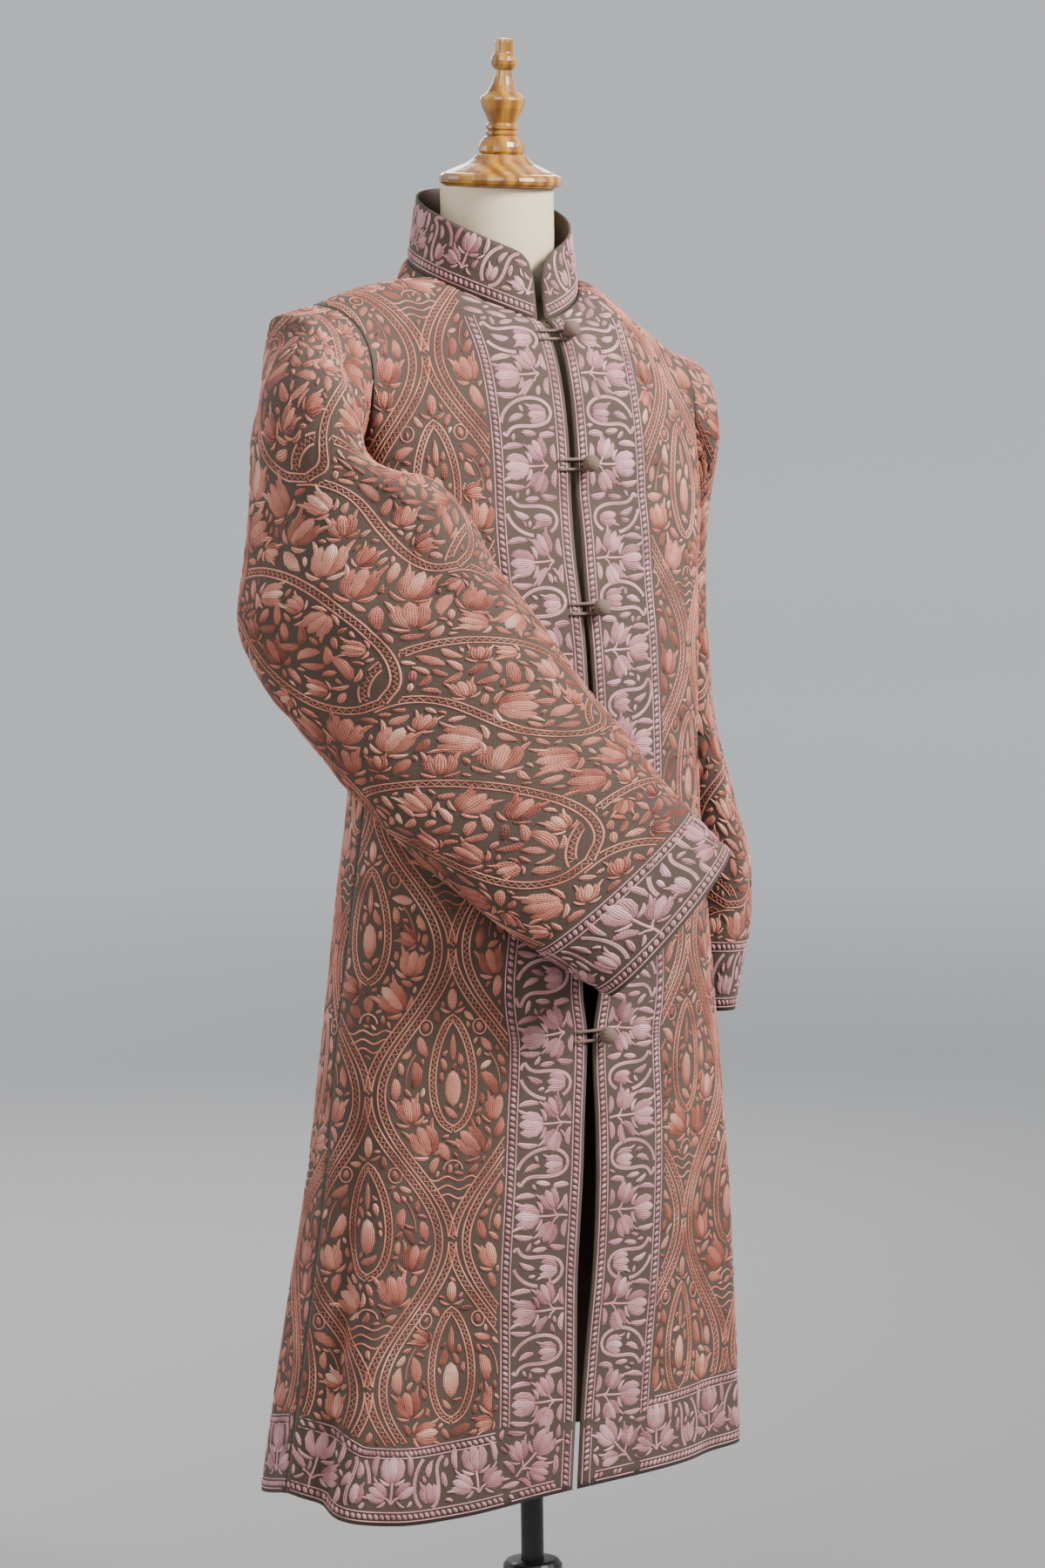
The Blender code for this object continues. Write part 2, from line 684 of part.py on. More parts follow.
def button(name, z, finish):
    """A cloth-covered ball on a short shank."""
    foot, out, up = button_place(z)
    gap = SEAM_GAP
    profile = [(0.0, gap), (SHANK_RADIUS, gap), (SHANK_RADIUS, gap + SHANK_HEIGHT)]
    middle = gap + SHANK_HEIGHT + 0.92 * BUTTON_RADIUS
    for step in range(1, 7):
        turn = math.pi * (0.11 + 0.89 * step / 7)
        profile.append((BUTTON_RADIUS * math.sin(turn), middle - 0.92 * BUTTON_RADIUS * math.cos(turn)))
    profile.append((0.0, middle + 0.92 * BUTTON_RADIUS))
    made = turned(name, profile, finish, segments=12)
    across = up.cross(out).normalized()
    for vertex in made.data.vertices:
        local = vertex.co.copy()
        vertex.co = foot + across * local.x + up * local.y + out * local.z
    return made


def loop(name, z, finish):
    """A thin cloth loop from the right front's edge round the button's shank."""
    foot, out, up = button_place(z)
    lift = 3 * SEAM_GAP + LOOP_RADIUS
    bend_radius = SHANK_RADIUS + LOOP_RADIUS + 2 * SEAM_GAP
    tail_end = front_at_share(-1, 0.0, z).x - LOOP_TAIL
    legs = []
    for leg in (1, -1):
        height = z + leg * bend_radius * up.z
        line = []
        for step in range(LOOP_LEG_STEPS):
            x = tail_end + (foot.x - tail_end) * step / LOOP_LEG_STEPS
            line.append(front_surface(x, height) + out * lift)
        legs.append(line)
    bend = []
    for step in range(LOOP_BEND_STEPS + 1):
        turn = math.pi / 2 - math.pi * step / LOOP_BEND_STEPS
        aside = Vector((math.cos(turn), 0, 0)) + up * math.sin(turn)
        bend.append(foot + aside * bend_radius + out * lift)
    return tube(name, legs[0] + bend + legs[1][::-1], LOOP_RADIUS, 6, finish)


def shoulder_reach(z):
    """Half-width of the dress form's shoulders at a height, just under the jacket's shoulder seam."""
    best = 0.0
    for step in range(101):
        share = NECK_SHARE + (1 - NECK_SHARE) * step / 100
        point = top_edge(1, True, share)
        under = point + inward(point) * (CLOTH + FORM_SHOULDER_GAP)
        if under.z >= z:
            best = max(best, under.x)
    return best


def form_ring(z, middle_y, half_width, half_depth, squareness=2.2):
    ring = []
    for index in range(FORM_AROUND):
        turn = 2 * math.pi * index / FORM_AROUND
        x = half_width * signed_power(math.sin(turn), 2.0 / squareness)
        y = middle_y - half_depth * signed_power(math.cos(turn), 2.0 / squareness)
        ring.append(Vector((x, y, z)))
    return ring


def form_rings():
    """Rings of the dress form, from its underside to the top of its neck."""
    rings = []
    low = FORM_LEVELS[0][0]
    high = FORM_LEVELS[-1][0]
    for number in range(FORM_TORSO_RINGS + 1):
        z = low + (high - low) * number / FORM_TORSO_RINGS
        middle_y, half_width, half_depth = smooth_between(FORM_LEVELS, z)
        rings.append(form_ring(z, middle_y, half_width, half_depth))
    for z, half_depth in SHOULDER_LEVELS:
        rings.append(form_ring(z, SHOULDER_Y, min(FORM_SHOULDER_LIMIT, shoulder_reach(z)), half_depth, 2.0))
    for z, half_width, half_depth in FORM_NECK_LEVELS:
        rings.append(form_ring(z, FORM_NECK_Y, half_width, half_depth, 2.0))
    for point in rings[-1]:
        point.z += (point.y - CAP_Y) * math.tan(NECK_TOP_LEAN)
    return rings


def dress_form(finish):
    """The torso as a hollow shell, open underneath and closed at the top of its neck."""
    outer = form_rings()
    top = outer[-1]
    inner = []
    for ring in outer[:-1]:
        middle = sum(ring, Vector()) / len(ring)
        inner.append([point + (middle - point).normalized() * FORM_WALL for point in ring])
    middle = sum(top, Vector()) / len(top)
    inner.append([point + (middle - point).normalized() * FORM_WALL + Vector((0, 0, -FORM_WALL)) for point in top])
    points = [p for ring in outer + inner for p in ring]
    count = FORM_AROUND
    faces = []
    rings = len(outer)
    for row in range(rings - 1):
        for index in range(count):
            after = (index + 1) % count
            quad = [row * count + index, row * count + after]
            quad += [(row + 1) * count + after, (row + 1) * count + index]
            faces.append(quad)
            faces.append([rings * count + corner for corner in reversed(quad)])
    for index in range(count):
        after = (index + 1) % count
        faces.append([after, index, rings * count + index, rings * count + after])
    faces.append([(rings - 1) * count + index for index in range(count)])
    faces.append([(2 * rings - 1) * count + index for index in range(count)])
    add_object("form_torso", points, faces, finish)


def form_board(finish):
    """The wooden board that closes the torso's underside."""
    z, middle_y, half_width, half_depth = FORM_LEVELS[0]
    high = form_ring(z - SEAM_GAP, middle_y, half_width, half_depth)
    low = form_ring(z - SEAM_GAP - FORM_BOARD, middle_y, half_width, half_depth)
    count = FORM_AROUND
    faces = [list(range(count)), list(range(count, 2 * count))]
    for index in range(count):
        after = (index + 1) % count
        faces.append([index, after, count + after, count + index])
    add_object("form_board", high + low, faces, finish)


def lean_on_neck(turned_piece):
    """Stand a turned piece on the neck's top, which leans a little to the front."""
    turned_piece.location = (0, CAP_Y, FORM_TOP_Z)
    turned_piece.rotation_euler.x = NECK_TOP_LEAN


def neck_cap(finish):
    """The turned wooden plate on top of the neck: a round-edged rim and a low cone."""
    foot = SEAM_GAP
    profile = [(0.0, foot), (0.0500, foot)]
    rim_middle = foot + 0.0062
    for step in range(7):
        turn = -math.pi / 2 + math.pi * step / 6
        profile.append((0.0500 + 0.0060 * math.cos(turn), rim_middle + 0.0060 * math.sin(turn)))
    cone = [(0.0470, 0.0140), (0.0400, 0.0170), (0.0320, 0.0205), (0.0262, 0.0245), (0.0232, CAP_HEIGHT)]
    profile += [(radius, foot + rise) for radius, rise in cone]
    profile.append((0.0, foot + CAP_HEIGHT))
    lean_on_neck(turned("neck_cap", profile, finish))


def finial(finish):
    """The turned wooden knob above the cap: dome, rings, bowl, flare, ball and stub."""
    foot = SEAM_GAP + CAP_HEIGHT + SEAM_GAP
    profile = [
        # radius, height above the cap
        (0.0000, 0.0000), (0.0190, 0.0000), (0.0208, 0.0030), (0.0206, 0.0075), (0.0190, 0.0115),
        (0.0160, 0.0150), (0.0136, 0.0170), (0.0146, 0.0185), (0.0146, 0.0205), (0.0130, 0.0220),
        (0.0146, 0.0235), (0.0146, 0.0262), (0.0122, 0.0285), (0.0150, 0.0345), (0.0186, 0.0415),
        (0.0206, 0.0490), (0.0200, 0.0515), (0.0142, 0.0560), (0.0104, 0.0625), (0.0082, 0.0700),
        (0.0074, 0.0755), (0.0092, 0.0770), (0.0114, 0.0805), (0.0119, 0.0840), (0.0110, 0.0878),
        (0.0086, 0.0906), (0.0082, 0.0915), (0.0082, 0.1005), (0.0078, 0.1032), (0.0000, 0.1040),
    ]
    profile = [(radius, foot + rise) for radius, rise in profile]
    lean_on_neck(turned("finial", profile, finish, segments=20))


def stand(metal, wood):
    """Base plate, lower tube, clamp hub, pole and the socket under the form."""
    board_low = FORM_LEVELS[0][0] - SEAM_GAP - FORM_BOARD
    edge = BASE_RADIUS
    base = [(0.0, 0.0), (edge, 0.0), (edge, 0.004), (edge - 0.004, 0.008), (edge * 0.55, 0.0115)]
    base += [(0.030, BASE_THICKNESS), (0.0, BASE_THICKNESS)]
    turned("base_plate", base, metal, segments=36)
    low = BASE_THICKNESS + SEAM_GAP
    tube_profile = [(TUBE_BORE, low), (TUBE_RADIUS, low), (TUBE_RADIUS, HUB_LOW_Z), (TUBE_BORE, HUB_LOW_Z)]
    turned("lower_tube", tube_profile, metal, closed_profile=True)
    hub_low = HUB_LOW_Z + SEAM_GAP
    hub_profile = [
        (TUBE_BORE, hub_low), (TUBE_RADIUS + 0.003, hub_low), (HUB_RADIUS, hub_low + 0.010),
        (HUB_RADIUS, HUB_HIGH_Z - 0.005), (HUB_RADIUS - 0.003, HUB_HIGH_Z - 0.001),
        (HUB_RADIUS - 0.008, HUB_HIGH_Z), (TUBE_BORE, HUB_HIGH_Z),
    ]
    hub = turned("hub", hub_profile, metal, closed_profile=True)
    drill_screw_hole(hub)
    pole_top = board_low - SEAM_GAP
    pole = [(0.0, POLE_FOOT_Z), (POLE_RADIUS, POLE_FOOT_Z), (POLE_RADIUS, pole_top), (0.0, pole_top)]
    turned("pole", pole, metal)
    socket_low = pole_top - SOCKET_HEIGHT
    socket = [
        (TUBE_BORE, socket_low), (SOCKET_RADIUS * 0.70, socket_low), (SOCKET_RADIUS * 0.78, pole_top - 0.010),
        (SOCKET_RADIUS * 1.6, pole_top - 0.006), (SOCKET_RADIUS * 1.6, pole_top), (TUBE_BORE, pole_top),
    ]
    turned("form_socket", socket, metal, closed_profile=True)
    form_board(wood)


def drill_screw_hole(hub):
    """The hole in the hub's front for the clamp screw."""
    bpy.ops.mesh.primitive_cylinder_add(vertices=16, radius=KNOB_SCREW_RADIUS + SEAM_GAP, depth=0.04,
                                        location=(0, -HUB_RADIUS, KNOB_Z), rotation=(math.pi / 2, 0, 0))
    cutter = bpy.context.object
    cutter.name = "screw_hole_cutter"
    cutter.hide_render = True
    cutter.display_type = "WIRE"
    cut = hub.modifiers.new("screw hole", "BOOLEAN")
    cut.operation = "DIFFERENCE"
    cut.object = cutter


def clamp_knob(finish):
    """The fluted knob and its screw, turning on an axis that runs out of the hub's front."""
    screw_end = TUBE_BORE + 0.0006
    grip_start = HUB_RADIUS + 0.004
    rows = [
        # radius, distance from the pole's axis, depth of the flutes
        (KNOB_SCREW_RADIUS, screw_end, 0.0),
        (KNOB_SCREW_RADIUS, grip_start, 0.0),
        (KNOB_RADIUS * 0.72, grip_start, 0.0),
        (KNOB_RADIUS * 0.80, grip_start + 0.004, 0.0),
        (KNOB_RADIUS, grip_start + 0.006, 0.0011),
        (KNOB_RADIUS, grip_start + KNOB_LENGTH - 0.002, 0.0011),
        (KNOB_RADIUS * 0.86, grip_start + KNOB_LENGTH, 0.0004),
    ]
    count = 24
    points = []
    for radius, reach, flute in rows:
        for index in range(count):
            turn = 2 * math.pi * index / count
            wide = radius - flute * (0.5 + 0.5 * math.cos(8 * turn))
            points.append(Vector((wide * math.cos(turn), -reach, wide * math.sin(turn))))
    faces = [list(range(count)), list(range(len(points) - count, len(points)))]
    for row in range(len(rows) - 1):
        for index in range(count):
            after = (index + 1) % count
            low = row * count
            faces.append([low + index, low + after, low + count + after, low + count + index])
    knob = add_object("clamp_knob", points, faces, finish)
    knob.location = (0, 0, KNOB_Z)


embroidered_cloth = material("embroidered wool", (0.40, 0.23, 0.17), 0.85)
border_cloth = material("border embroidery", (0.56, 0.40, 0.41), 0.80)
taupe_cloth = material("taupe cloth", (0.20, 0.16, 0.13), 0.90)
linen = material("linen", (0.72, 0.68, 0.60), 0.90)
beech = material("varnished beech", (0.62, 0.36, 0.14), 0.35)
black_metal = material("black painted steel", (0.015, 0.015, 0.017), 0.40)

front_panel("front_right", -1, embroidered_cloth)
front_panel("front_left", 1, embroidered_cloth)
back_panel("back", embroidered_cloth)
sleeve("sleeve_right", -1, RIGHT_SLEEVE, RIGHT_SLEEVE_FOLDS, RIGHT_FRONT_CLEARANCE, embroidered_cloth)
sleeve("sleeve_left", 1, LEFT_SLEEVE, LEFT_SLEEVE_FOLDS, SLEEVE_CLEARANCE, embroidered_cloth)
collar("collar", border_cloth)
for number, height in enumerate(BUTTON_HEIGHTS, start=1):
    button(f"button_{number}", height, taupe_cloth)
    loop(f"loop_{number}", height, taupe_cloth)
dress_form(linen)
neck_cap(beech)
finial(beech)
stand(black_metal, beech)
clamp_knob(black_metal)
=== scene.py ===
# %% [markdown]
# # An embroidered long jacket on a dress form
# The real jacket is taupe wool, worked nearly all over in chain stitch with an awl hook: terracotta
# paisleys, tulips and leaves in the fields, and mauve borders down the fronts and round the hem, cuffs
# and collar. The imported model gives every piece's place, so this lesson only dresses it.

# %% Load the frame and keep its meshes
import math

import bpy
import numpy as np
from mathutils import Matrix, Vector
from mathutils.bvhtree import BVHTree


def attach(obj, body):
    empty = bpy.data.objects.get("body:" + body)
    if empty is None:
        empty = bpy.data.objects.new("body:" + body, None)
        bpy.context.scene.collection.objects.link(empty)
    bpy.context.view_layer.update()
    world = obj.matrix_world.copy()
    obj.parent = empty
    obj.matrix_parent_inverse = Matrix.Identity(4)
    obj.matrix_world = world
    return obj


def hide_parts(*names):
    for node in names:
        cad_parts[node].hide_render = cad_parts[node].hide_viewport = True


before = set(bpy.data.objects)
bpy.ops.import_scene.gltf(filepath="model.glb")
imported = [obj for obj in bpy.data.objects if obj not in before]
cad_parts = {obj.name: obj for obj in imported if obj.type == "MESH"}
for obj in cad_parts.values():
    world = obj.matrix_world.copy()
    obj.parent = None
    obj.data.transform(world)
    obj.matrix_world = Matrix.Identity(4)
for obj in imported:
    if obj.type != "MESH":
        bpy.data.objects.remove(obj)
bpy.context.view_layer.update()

# %% [markdown]
# ## Camera
# The photograph looks at the jacket from a third of a right angle round to the wearer's right, and from a
# little above the chest. A long lens keeps the tall coat free of perspective.

# %% Camera at the photograph's viewing angle
CAMERA_TURN = math.radians(-33.0)
CAMERA_DISTANCE = 3.8
CAMERA_HEIGHT = 1.28
CAMERA_AIM = Vector((0.0, 0.0, 0.945))
CAMERA_ROLL = math.radians(-0.75)
PICTURE_HEIGHT = 1.425
SENSOR = 36.0

eye = Vector((math.sin(CAMERA_TURN), -math.cos(CAMERA_TURN), 0.0)) * CAMERA_DISTANCE
eye.z = CAMERA_HEIGHT
camera = bpy.data.objects.new("camera", bpy.data.cameras.new("camera"))
bpy.context.scene.collection.objects.link(camera)
look = (CAMERA_AIM - eye).to_track_quat("-Z", "Y").to_matrix().to_4x4()
camera.matrix_world = Matrix.Translation(eye) @ look @ Matrix.Rotation(CAMERA_ROLL, 4, "Z")
camera.data.sensor_fit = "VERTICAL"
camera.data.sensor_height = SENSOR
camera.data.lens = SENSOR * CAMERA_DISTANCE / PICTURE_HEIGHT
bpy.context.scene.camera = camera
print("Lens in millimetres:", round(camera.data.lens, 1))

# %% [markdown]
# ## Light
# A big soft lamp hangs above and to the right of the camera, so the fronts are brightest and the sleeve's
# outer side falls off gently. Its spread is narrow and aimed at the chest, as with a grid on a softbox, so
# the skirt is darker than the chest. A weaker one on the left fills the shadows, and two light the back.

# %% Lamps
LAMPS = [
    # name, place, aim, size, watts, spread in degrees
    ("key", (1.4, -2.3, 3.1), (0.0, 0.0, 1.42), 1.1, 63.0, 80.0),
    ("fill", (-2.7, -2.0, 2.5), (0.0, 0.0, 1.30), 1.8, 20.0, 100.0),
    ("rim", (1.6, 2.8, 2.6), (0.0, 0.0, 1.10), 1.4, 40.0, 180.0),
    ("back left", (-2.2, 2.6, 2.0), (0.0, 0.0, 0.90), 1.6, 34.0, 180.0),
]
for name, place, aim, size, watts, spread in LAMPS:
    lamp_data = bpy.data.lights.new(name, "AREA")
    lamp_data.size = size
    lamp_data.energy = watts
    lamp_data.spread = math.radians(spread)
    lamp = bpy.data.objects.new(name, lamp_data)
    turned = (Vector(aim) - Vector(place)).to_track_quat("-Z", "Y").to_matrix().to_4x4()
    lamp.matrix_world = Matrix.Translation(Vector(place)) @ turned
    bpy.context.scene.collection.objects.link(lamp)
world = bpy.data.worlds.new("studio")
world.use_nodes = True
sky = world.node_tree.nodes["Background"].inputs
sky["Color"].default_value = (0.88, 0.91, 0.96, 1.0)
sky["Strength"].default_value = 0.67
bpy.context.scene.world = world
print("Lamps:", len(LAMPS))

# %% [markdown]
# ## Materials by name
# Every finish is built from nodes, because a picture of the cloth would blur close up and could not follow
# each petal. One helper turns the hex colour that a painter would pick into the linear light that the
# renderer adds up, and one adds a node of any kind with its settings and links.

# %% Helpers for materials
MATH = "ShaderNodeMath"


def linear(hex_code):
    """A colour like '#B98670' as linear red, green, blue and alpha."""
    values = [int(hex_code[i:i + 2], 16) / 255 for i in (1, 3, 5)]
    return [v / 12.92 if v <= 0.04045 else ((v + 0.055) / 1.055) ** 2.4 for v in values] + [1.0]


def plug(material, value, socket):
    """Link a node, or one (node, output), to a socket; a plain value is set on it."""
    from_output = isinstance(value, tuple) and isinstance(value[0], bpy.types.Node)
    source, output = value if from_output else (value, 0)
    if isinstance(source, bpy.types.Node):
        material.node_tree.links.new(source.outputs[output], socket)
    else:
        socket.default_value = value


def add_node(material, kind, settings=()):
    """Add one node; settings name its properties, its inputs by name or number, or a ramp's colours."""
    made = material.node_tree.nodes.new(kind)
    for name, value in dict(settings).items():
        if name == "colours":
            steps = made.color_ramp.elements
            while len(steps) < len(value):
                steps.new(0.5)
            for step, (position, code) in zip(steps, value):
                step.position = position
                step.color = linear(code)
        elif isinstance(name, int) or name in made.inputs:
            plug(material, value, made.inputs[name])
        else:
            setattr(made, name, value)
    return made


def new_material(name, roughness, settings=()):
    """A named material with its shader's constants set on the shader itself."""
    made = bpy.data.materials.new(name)
    made.use_nodes = True
    shader = made.node_tree.nodes["Principled BSDF"]
    shader.inputs["Roughness"].default_value = roughness
    for socket, value in dict(settings).items():
        shader.inputs[socket].default_value = value
    return made, shader


def finish_with(material, shader, colour, height=None, bump_mm=0.3):
    """Plug a colour into the shader, and a bump of that many millimetres."""
    plug(material, colour, shader.inputs["Base Color"])
    if height is not None:
        bump = add_node(material, "ShaderNodeBump",
                        {"Strength": 1.0, "Distance": bump_mm / 1000, "Height": height})
        plug(material, (bump, "Normal"), shader.inputs["Normal"])
    return material

# %% [markdown]
# Chain stitch is a row of small loops, each caught by the next, and here the rows lie side by side and follow
# each petal. The relief carries two attributes. "stitch" counts links along a row in x and rows across in y,
# and its z is the thread's tone. "rim" is 1 where a petal's edge turns down into the ground and 0 on its top,
# so that each petal has the thin shaded outline that parts it from the next. Real rows are 1.6 mm apart; they
# are drawn at 1.9 mm so they show.

# %% Chain stitch in silky wool thread
ROW_MM = 1.9
LINK_MM = 2.1


def chain_stitch(name, colours, groove, sheen_code):
    """Rows of chain links: rounded across, pinched where one link enters the next, shaded at the rim."""
    made, shader = new_material(name, 0.52, {"Sheen Weight": 0.05, "Sheen Roughness": 0.40,
                                             "Sheen Tint": linear(sheen_code)})
    counted = add_node(made, "ShaderNodeAttribute", {"attribute_name": "stitch"})
    parts = add_node(made, "ShaderNodeSeparateXYZ", {"Vector": (counted, "Vector")})
    # How far a point is from the middle of its row: 0 in the middle, 1 in the groove.
    shifted = add_node(made, MATH, {"operation": "ADD", 0: (parts, "Y"), 1: 100.5})
    row = add_node(made, MATH, {"operation": "FRACT", 0: shifted})
    centred = add_node(made, MATH, {"operation": "SUBTRACT", 0: row, 1: 0.5})
    half_off = add_node(made, MATH, {"operation": "ABSOLUTE", 0: centred})
    off = add_node(made, MATH, {"operation": "MULTIPLY", 0: half_off, 1: 2.0})
    # The rounded row, and along it the links, which trail back at their sides.
    falling = add_node(made, MATH, {"operation": "POWER", 0: off, 1: 2.6})
    across = add_node(made, MATH, {"operation": "SUBTRACT", 0: 1.0, 1: falling})
    trailing = add_node(made, MATH, {"operation": "MULTIPLY_ADD", 0: off, 1: -0.45, 2: (parts, "X")})
    link = add_node(made, MATH, {"operation": "FRACT", 0: trailing})
    half_turn = add_node(made, MATH, {"operation": "MULTIPLY", 0: link, 1: math.pi})
    bead = add_node(made, MATH, {"operation": "SINE", 0: half_turn})
    swell = add_node(made, MATH, {"operation": "MULTIPLY_ADD", 0: bead, 1: 0.55, 2: 0.45})
    height = add_node(made, MATH, {"operation": "MULTIPLY", 0: across, 1: swell})
    # Dye lots change slowly, over about a flower's width; single fibres change every few millimetres.
    coords = add_node(made, "ShaderNodeTexCoord")
    lots = add_node(made, "ShaderNodeTexNoise", {"Scale": 38.0, "Detail": 3.0, "Vector": (coords, "Object")})
    fibres = add_node(made, "ShaderNodeTexNoise",
                      {"Scale": 420.0, "Detail": 2.0, "Vector": (coords, "Object")})
    tone = add_node(made, MATH, {"operation": "MULTIPLY_ADD", 0: (lots, "Fac"), 1: 1.10, 2: (parts, "Z")})
    tone = add_node(made, MATH, {"operation": "MULTIPLY_ADD", 0: (fibres, "Fac"), 1: 0.16, 2: tone})
    tone = add_node(made, MATH, {"operation": "SUBTRACT", 0: tone, 1: 0.66})
    thread = add_node(made, "ShaderNodeValToRGB", {"colours": colours, "Fac": tone})
    # Shade gathers in the grooves, between the links and at the rim.
    groove_shade = add_node(made, MATH, {"operation": "POWER", 0: off, 1: 3.0})
    link_shade = add_node(made, MATH, {"operation": "MULTIPLY_ADD", 0: bead, 1: -0.16, 2: 0.16})
    shade = add_node(made, MATH, {"operation": "MULTIPLY_ADD", 0: groove_shade, 1: groove, 2: link_shade})
    rim = add_node(made, "ShaderNodeAttribute", {"attribute_name": "rim"})
    rim_shade = add_node(made, MATH, {"operation": "POWER", 0: (rim, "Fac"), 1: 2.8})
    shade = add_node(made, MATH, {"operation": "MULTIPLY_ADD", 0: rim_shade, 1: 0.75, 2: shade})
    shaded = add_node(made, "ShaderNodeMix", {"data_type": "RGBA", "blend_type": "MULTIPLY", 0: shade,
                                              6: (thread, "Color"), 7: linear("#4A3A33")})
    return finish_with(made, shader, (shaded, 2), height, 0.70)


# Terracotta and peach threads: warm, matt wool with a faint silky sheen.
FIELD_COLOURS = [(0.0, "#6C3428"), (0.28, "#9E5240"), (0.52, "#C6755F"), (0.76, "#DE927A"), (1.0, "#F6BEA6")]
field_thread = chain_stitch("terracotta wool chain stitch", FIELD_COLOURS, 0.75, "#E8C4AE")
# Mauve threads: paler and silkier than the fields.
BORDER_COLOURS = [(0.0, "#8A5259"), (0.30, "#B4767C"), (0.55, "#D29499"), (0.8, "#E6ADB1"), (1.0, "#F6C8CA")]
border_thread = chain_stitch("mauve silk chain stitch", BORDER_COLOURS, 0.60, "#F0DCE0")
print("Rows every", ROW_MM, "mm, links every", LINK_MM, "mm")

# %% [markdown]
# The ground cloth is a taupe wool with a fine worsted weave. It shows as narrow gaps in the fields and as
# the backing of the borders, and it is the inside of the coat.

# %% Woven grounds: taupe wool and cream linen
# A wave texture of scale 1 has a band every 314 mm, so this over the thread's width gives a band a thread.
WAVE_BAND_MM = 314.0


def woven_cloth(name, dark_code, light_code, thread_mm, bump_mm, roughness, sheen):
    """Plain weave: two crossed sets of threads, with slow patches of tone and short slubs."""
    made, shader = new_material(name, roughness, {"Sheen Weight": sheen, "Sheen Roughness": 0.6})
    coords = add_node(made, "ShaderNodeTexCoord")
    upright, level = [add_node(made, "ShaderNodeTexWave", {
        "bands_direction": direction, "Scale": WAVE_BAND_MM / thread_mm, "Distortion": 0.6,
        "Detail": 2.0, "Detail Scale": 1.5, "Vector": (coords, "Object")}) for direction in ("X", "Z")]
    weave = add_node(made, MATH, {"operation": "ADD", 0: (upright, "Fac"), 1: (level, "Fac")})
    slow = add_node(made, "ShaderNodeTexNoise", {"Scale": 9.0, "Detail": 4.0, "Vector": (coords, "Object")})
    slub = add_node(made, "ShaderNodeTexNoise", {"Scale": 260.0, "Detail": 2.0, "Vector": (coords, "Object")})
    tone = add_node(made, MATH, {"operation": "MULTIPLY", 0: weave, 1: 0.22})
    tone = add_node(made, MATH, {"operation": "MULTIPLY_ADD", 0: (slow, "Fac"), 1: 0.40, 2: tone})
    tone = add_node(made, MATH, {"operation": "MULTIPLY_ADD", 0: (slub, "Fac"), 1: 0.30, 2: tone})
    colour = add_node(made, "ShaderNodeValToRGB",
                      {"colours": [(0.25, dark_code), (0.85, light_code)], "Fac": tone})
    return finish_with(made, shader, (colour, "Color"), weave, bump_mm)


# Worsted wool: matt, with a soft bloom of loose fibres.
taupe_wool = woven_cloth("taupe worsted wool", "#35261F", "#524033", 0.9, 0.10, 0.88, 0.06)
# The buttons and loops are cut from a slightly warmer and lighter piece.
button_wool = woven_cloth("taupe button cloth", "#533F34", "#775F51", 0.7, 0.10, 0.84, 0.08)
# Form linen: unbleached, smooth from handling.
cream_linen = woven_cloth("cream linen canvas", "#C4B092", "#E2D1B2", 0.8, 0.08, 0.88, 0.05)
print("Woven cloths:", taupe_wool.name, button_wool.name, cream_linen.name)

# %% [markdown]
# Turned beech keeps the long grain of its blank: thin darker lines run up the knob and turn into flat arcs
# where the cutter crossed them. A clear varnish gives small bright highlights.

# %% Varnished wood and painted steel
def varnished_beech():
    """Honey-coloured beech under clear varnish."""
    made, shader = new_material("varnished beech", 0.34, {"Coat Weight": 0.55, "Coat Roughness": 0.14,
                                                          "IOR": 1.5})
    coords = add_node(made, "ShaderNodeTexCoord")
    stretch = add_node(made, "ShaderNodeMapping", {"Scale": (1.0, 1.0, 0.12), "Vector": (coords, "Object")})
    grain = add_node(made, "ShaderNodeTexNoise",
                     {"Scale": 120.0, "Detail": 4.0, "Distortion": 0.6, "Vector": (stretch, "Vector")})
    broad = add_node(made, "ShaderNodeTexWave",
                     {"Scale": 22.0, "Distortion": 3.0, "Detail": 2.0, "Vector": (stretch, "Vector")})
    tone = add_node(made, MATH, {"operation": "MULTIPLY", 0: (grain, "Fac"), 1: 0.65})
    tone = add_node(made, MATH, {"operation": "MULTIPLY_ADD", 0: (broad, "Fac"), 1: 0.35, 2: tone})
    honey = [(0.15, "#5A3208"), (0.45, "#8E5A16"), (0.70, "#AE7C26"), (1.0, "#C6983E")]
    colour = add_node(made, "ShaderNodeValToRGB", {"colours": honey, "Fac": tone})
    return finish_with(made, shader, (colour, "Color"), (grain, "Fac"), 0.05)


def black_paint():
    """Semi-gloss black paint on steel, with a fine unevenness."""
    made, shader = new_material("black painted steel", 0.42, {"Coat Weight": 0.15})
    coords = add_node(made, "ShaderNodeTexCoord")
    peel = add_node(made, "ShaderNodeTexNoise", {"Scale": 220.0, "Detail": 3.0, "Vector": (coords, "Object")})
    colour = add_node(made, "ShaderNodeValToRGB",
                      {"colours": [(0.3, "#0D0D0F"), (0.8, "#1C1C1F")], "Fac": (peel, "Fac")})
    return finish_with(made, shader, (colour, "Color"), (peel, "Fac"), 0.03)


def coat_of(material, nodes):
    """Give carried-over nodes one finish."""
    for node in nodes:
        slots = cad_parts[node].data.materials
        slots.clear()
        slots.append(material)


coat_of(varnished_beech(), ("form_board", "neck_cap", "finial"))
coat_of(black_paint(), ("pole", "hub", "lower_tube", "base_plate", "clamp_knob", "form_socket"))
coat_of(button_wool, [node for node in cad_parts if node.startswith(("button", "loop"))])
print("Carried-over nodes have their finishes")

# %% [markdown]
# ## Cloth surfaces
# The coat's cut is the same as in the frame: sections at heights, smoothly joined. Here the same rules give
# any point of the cloth, so the shells can be much finer than the frame's solids.

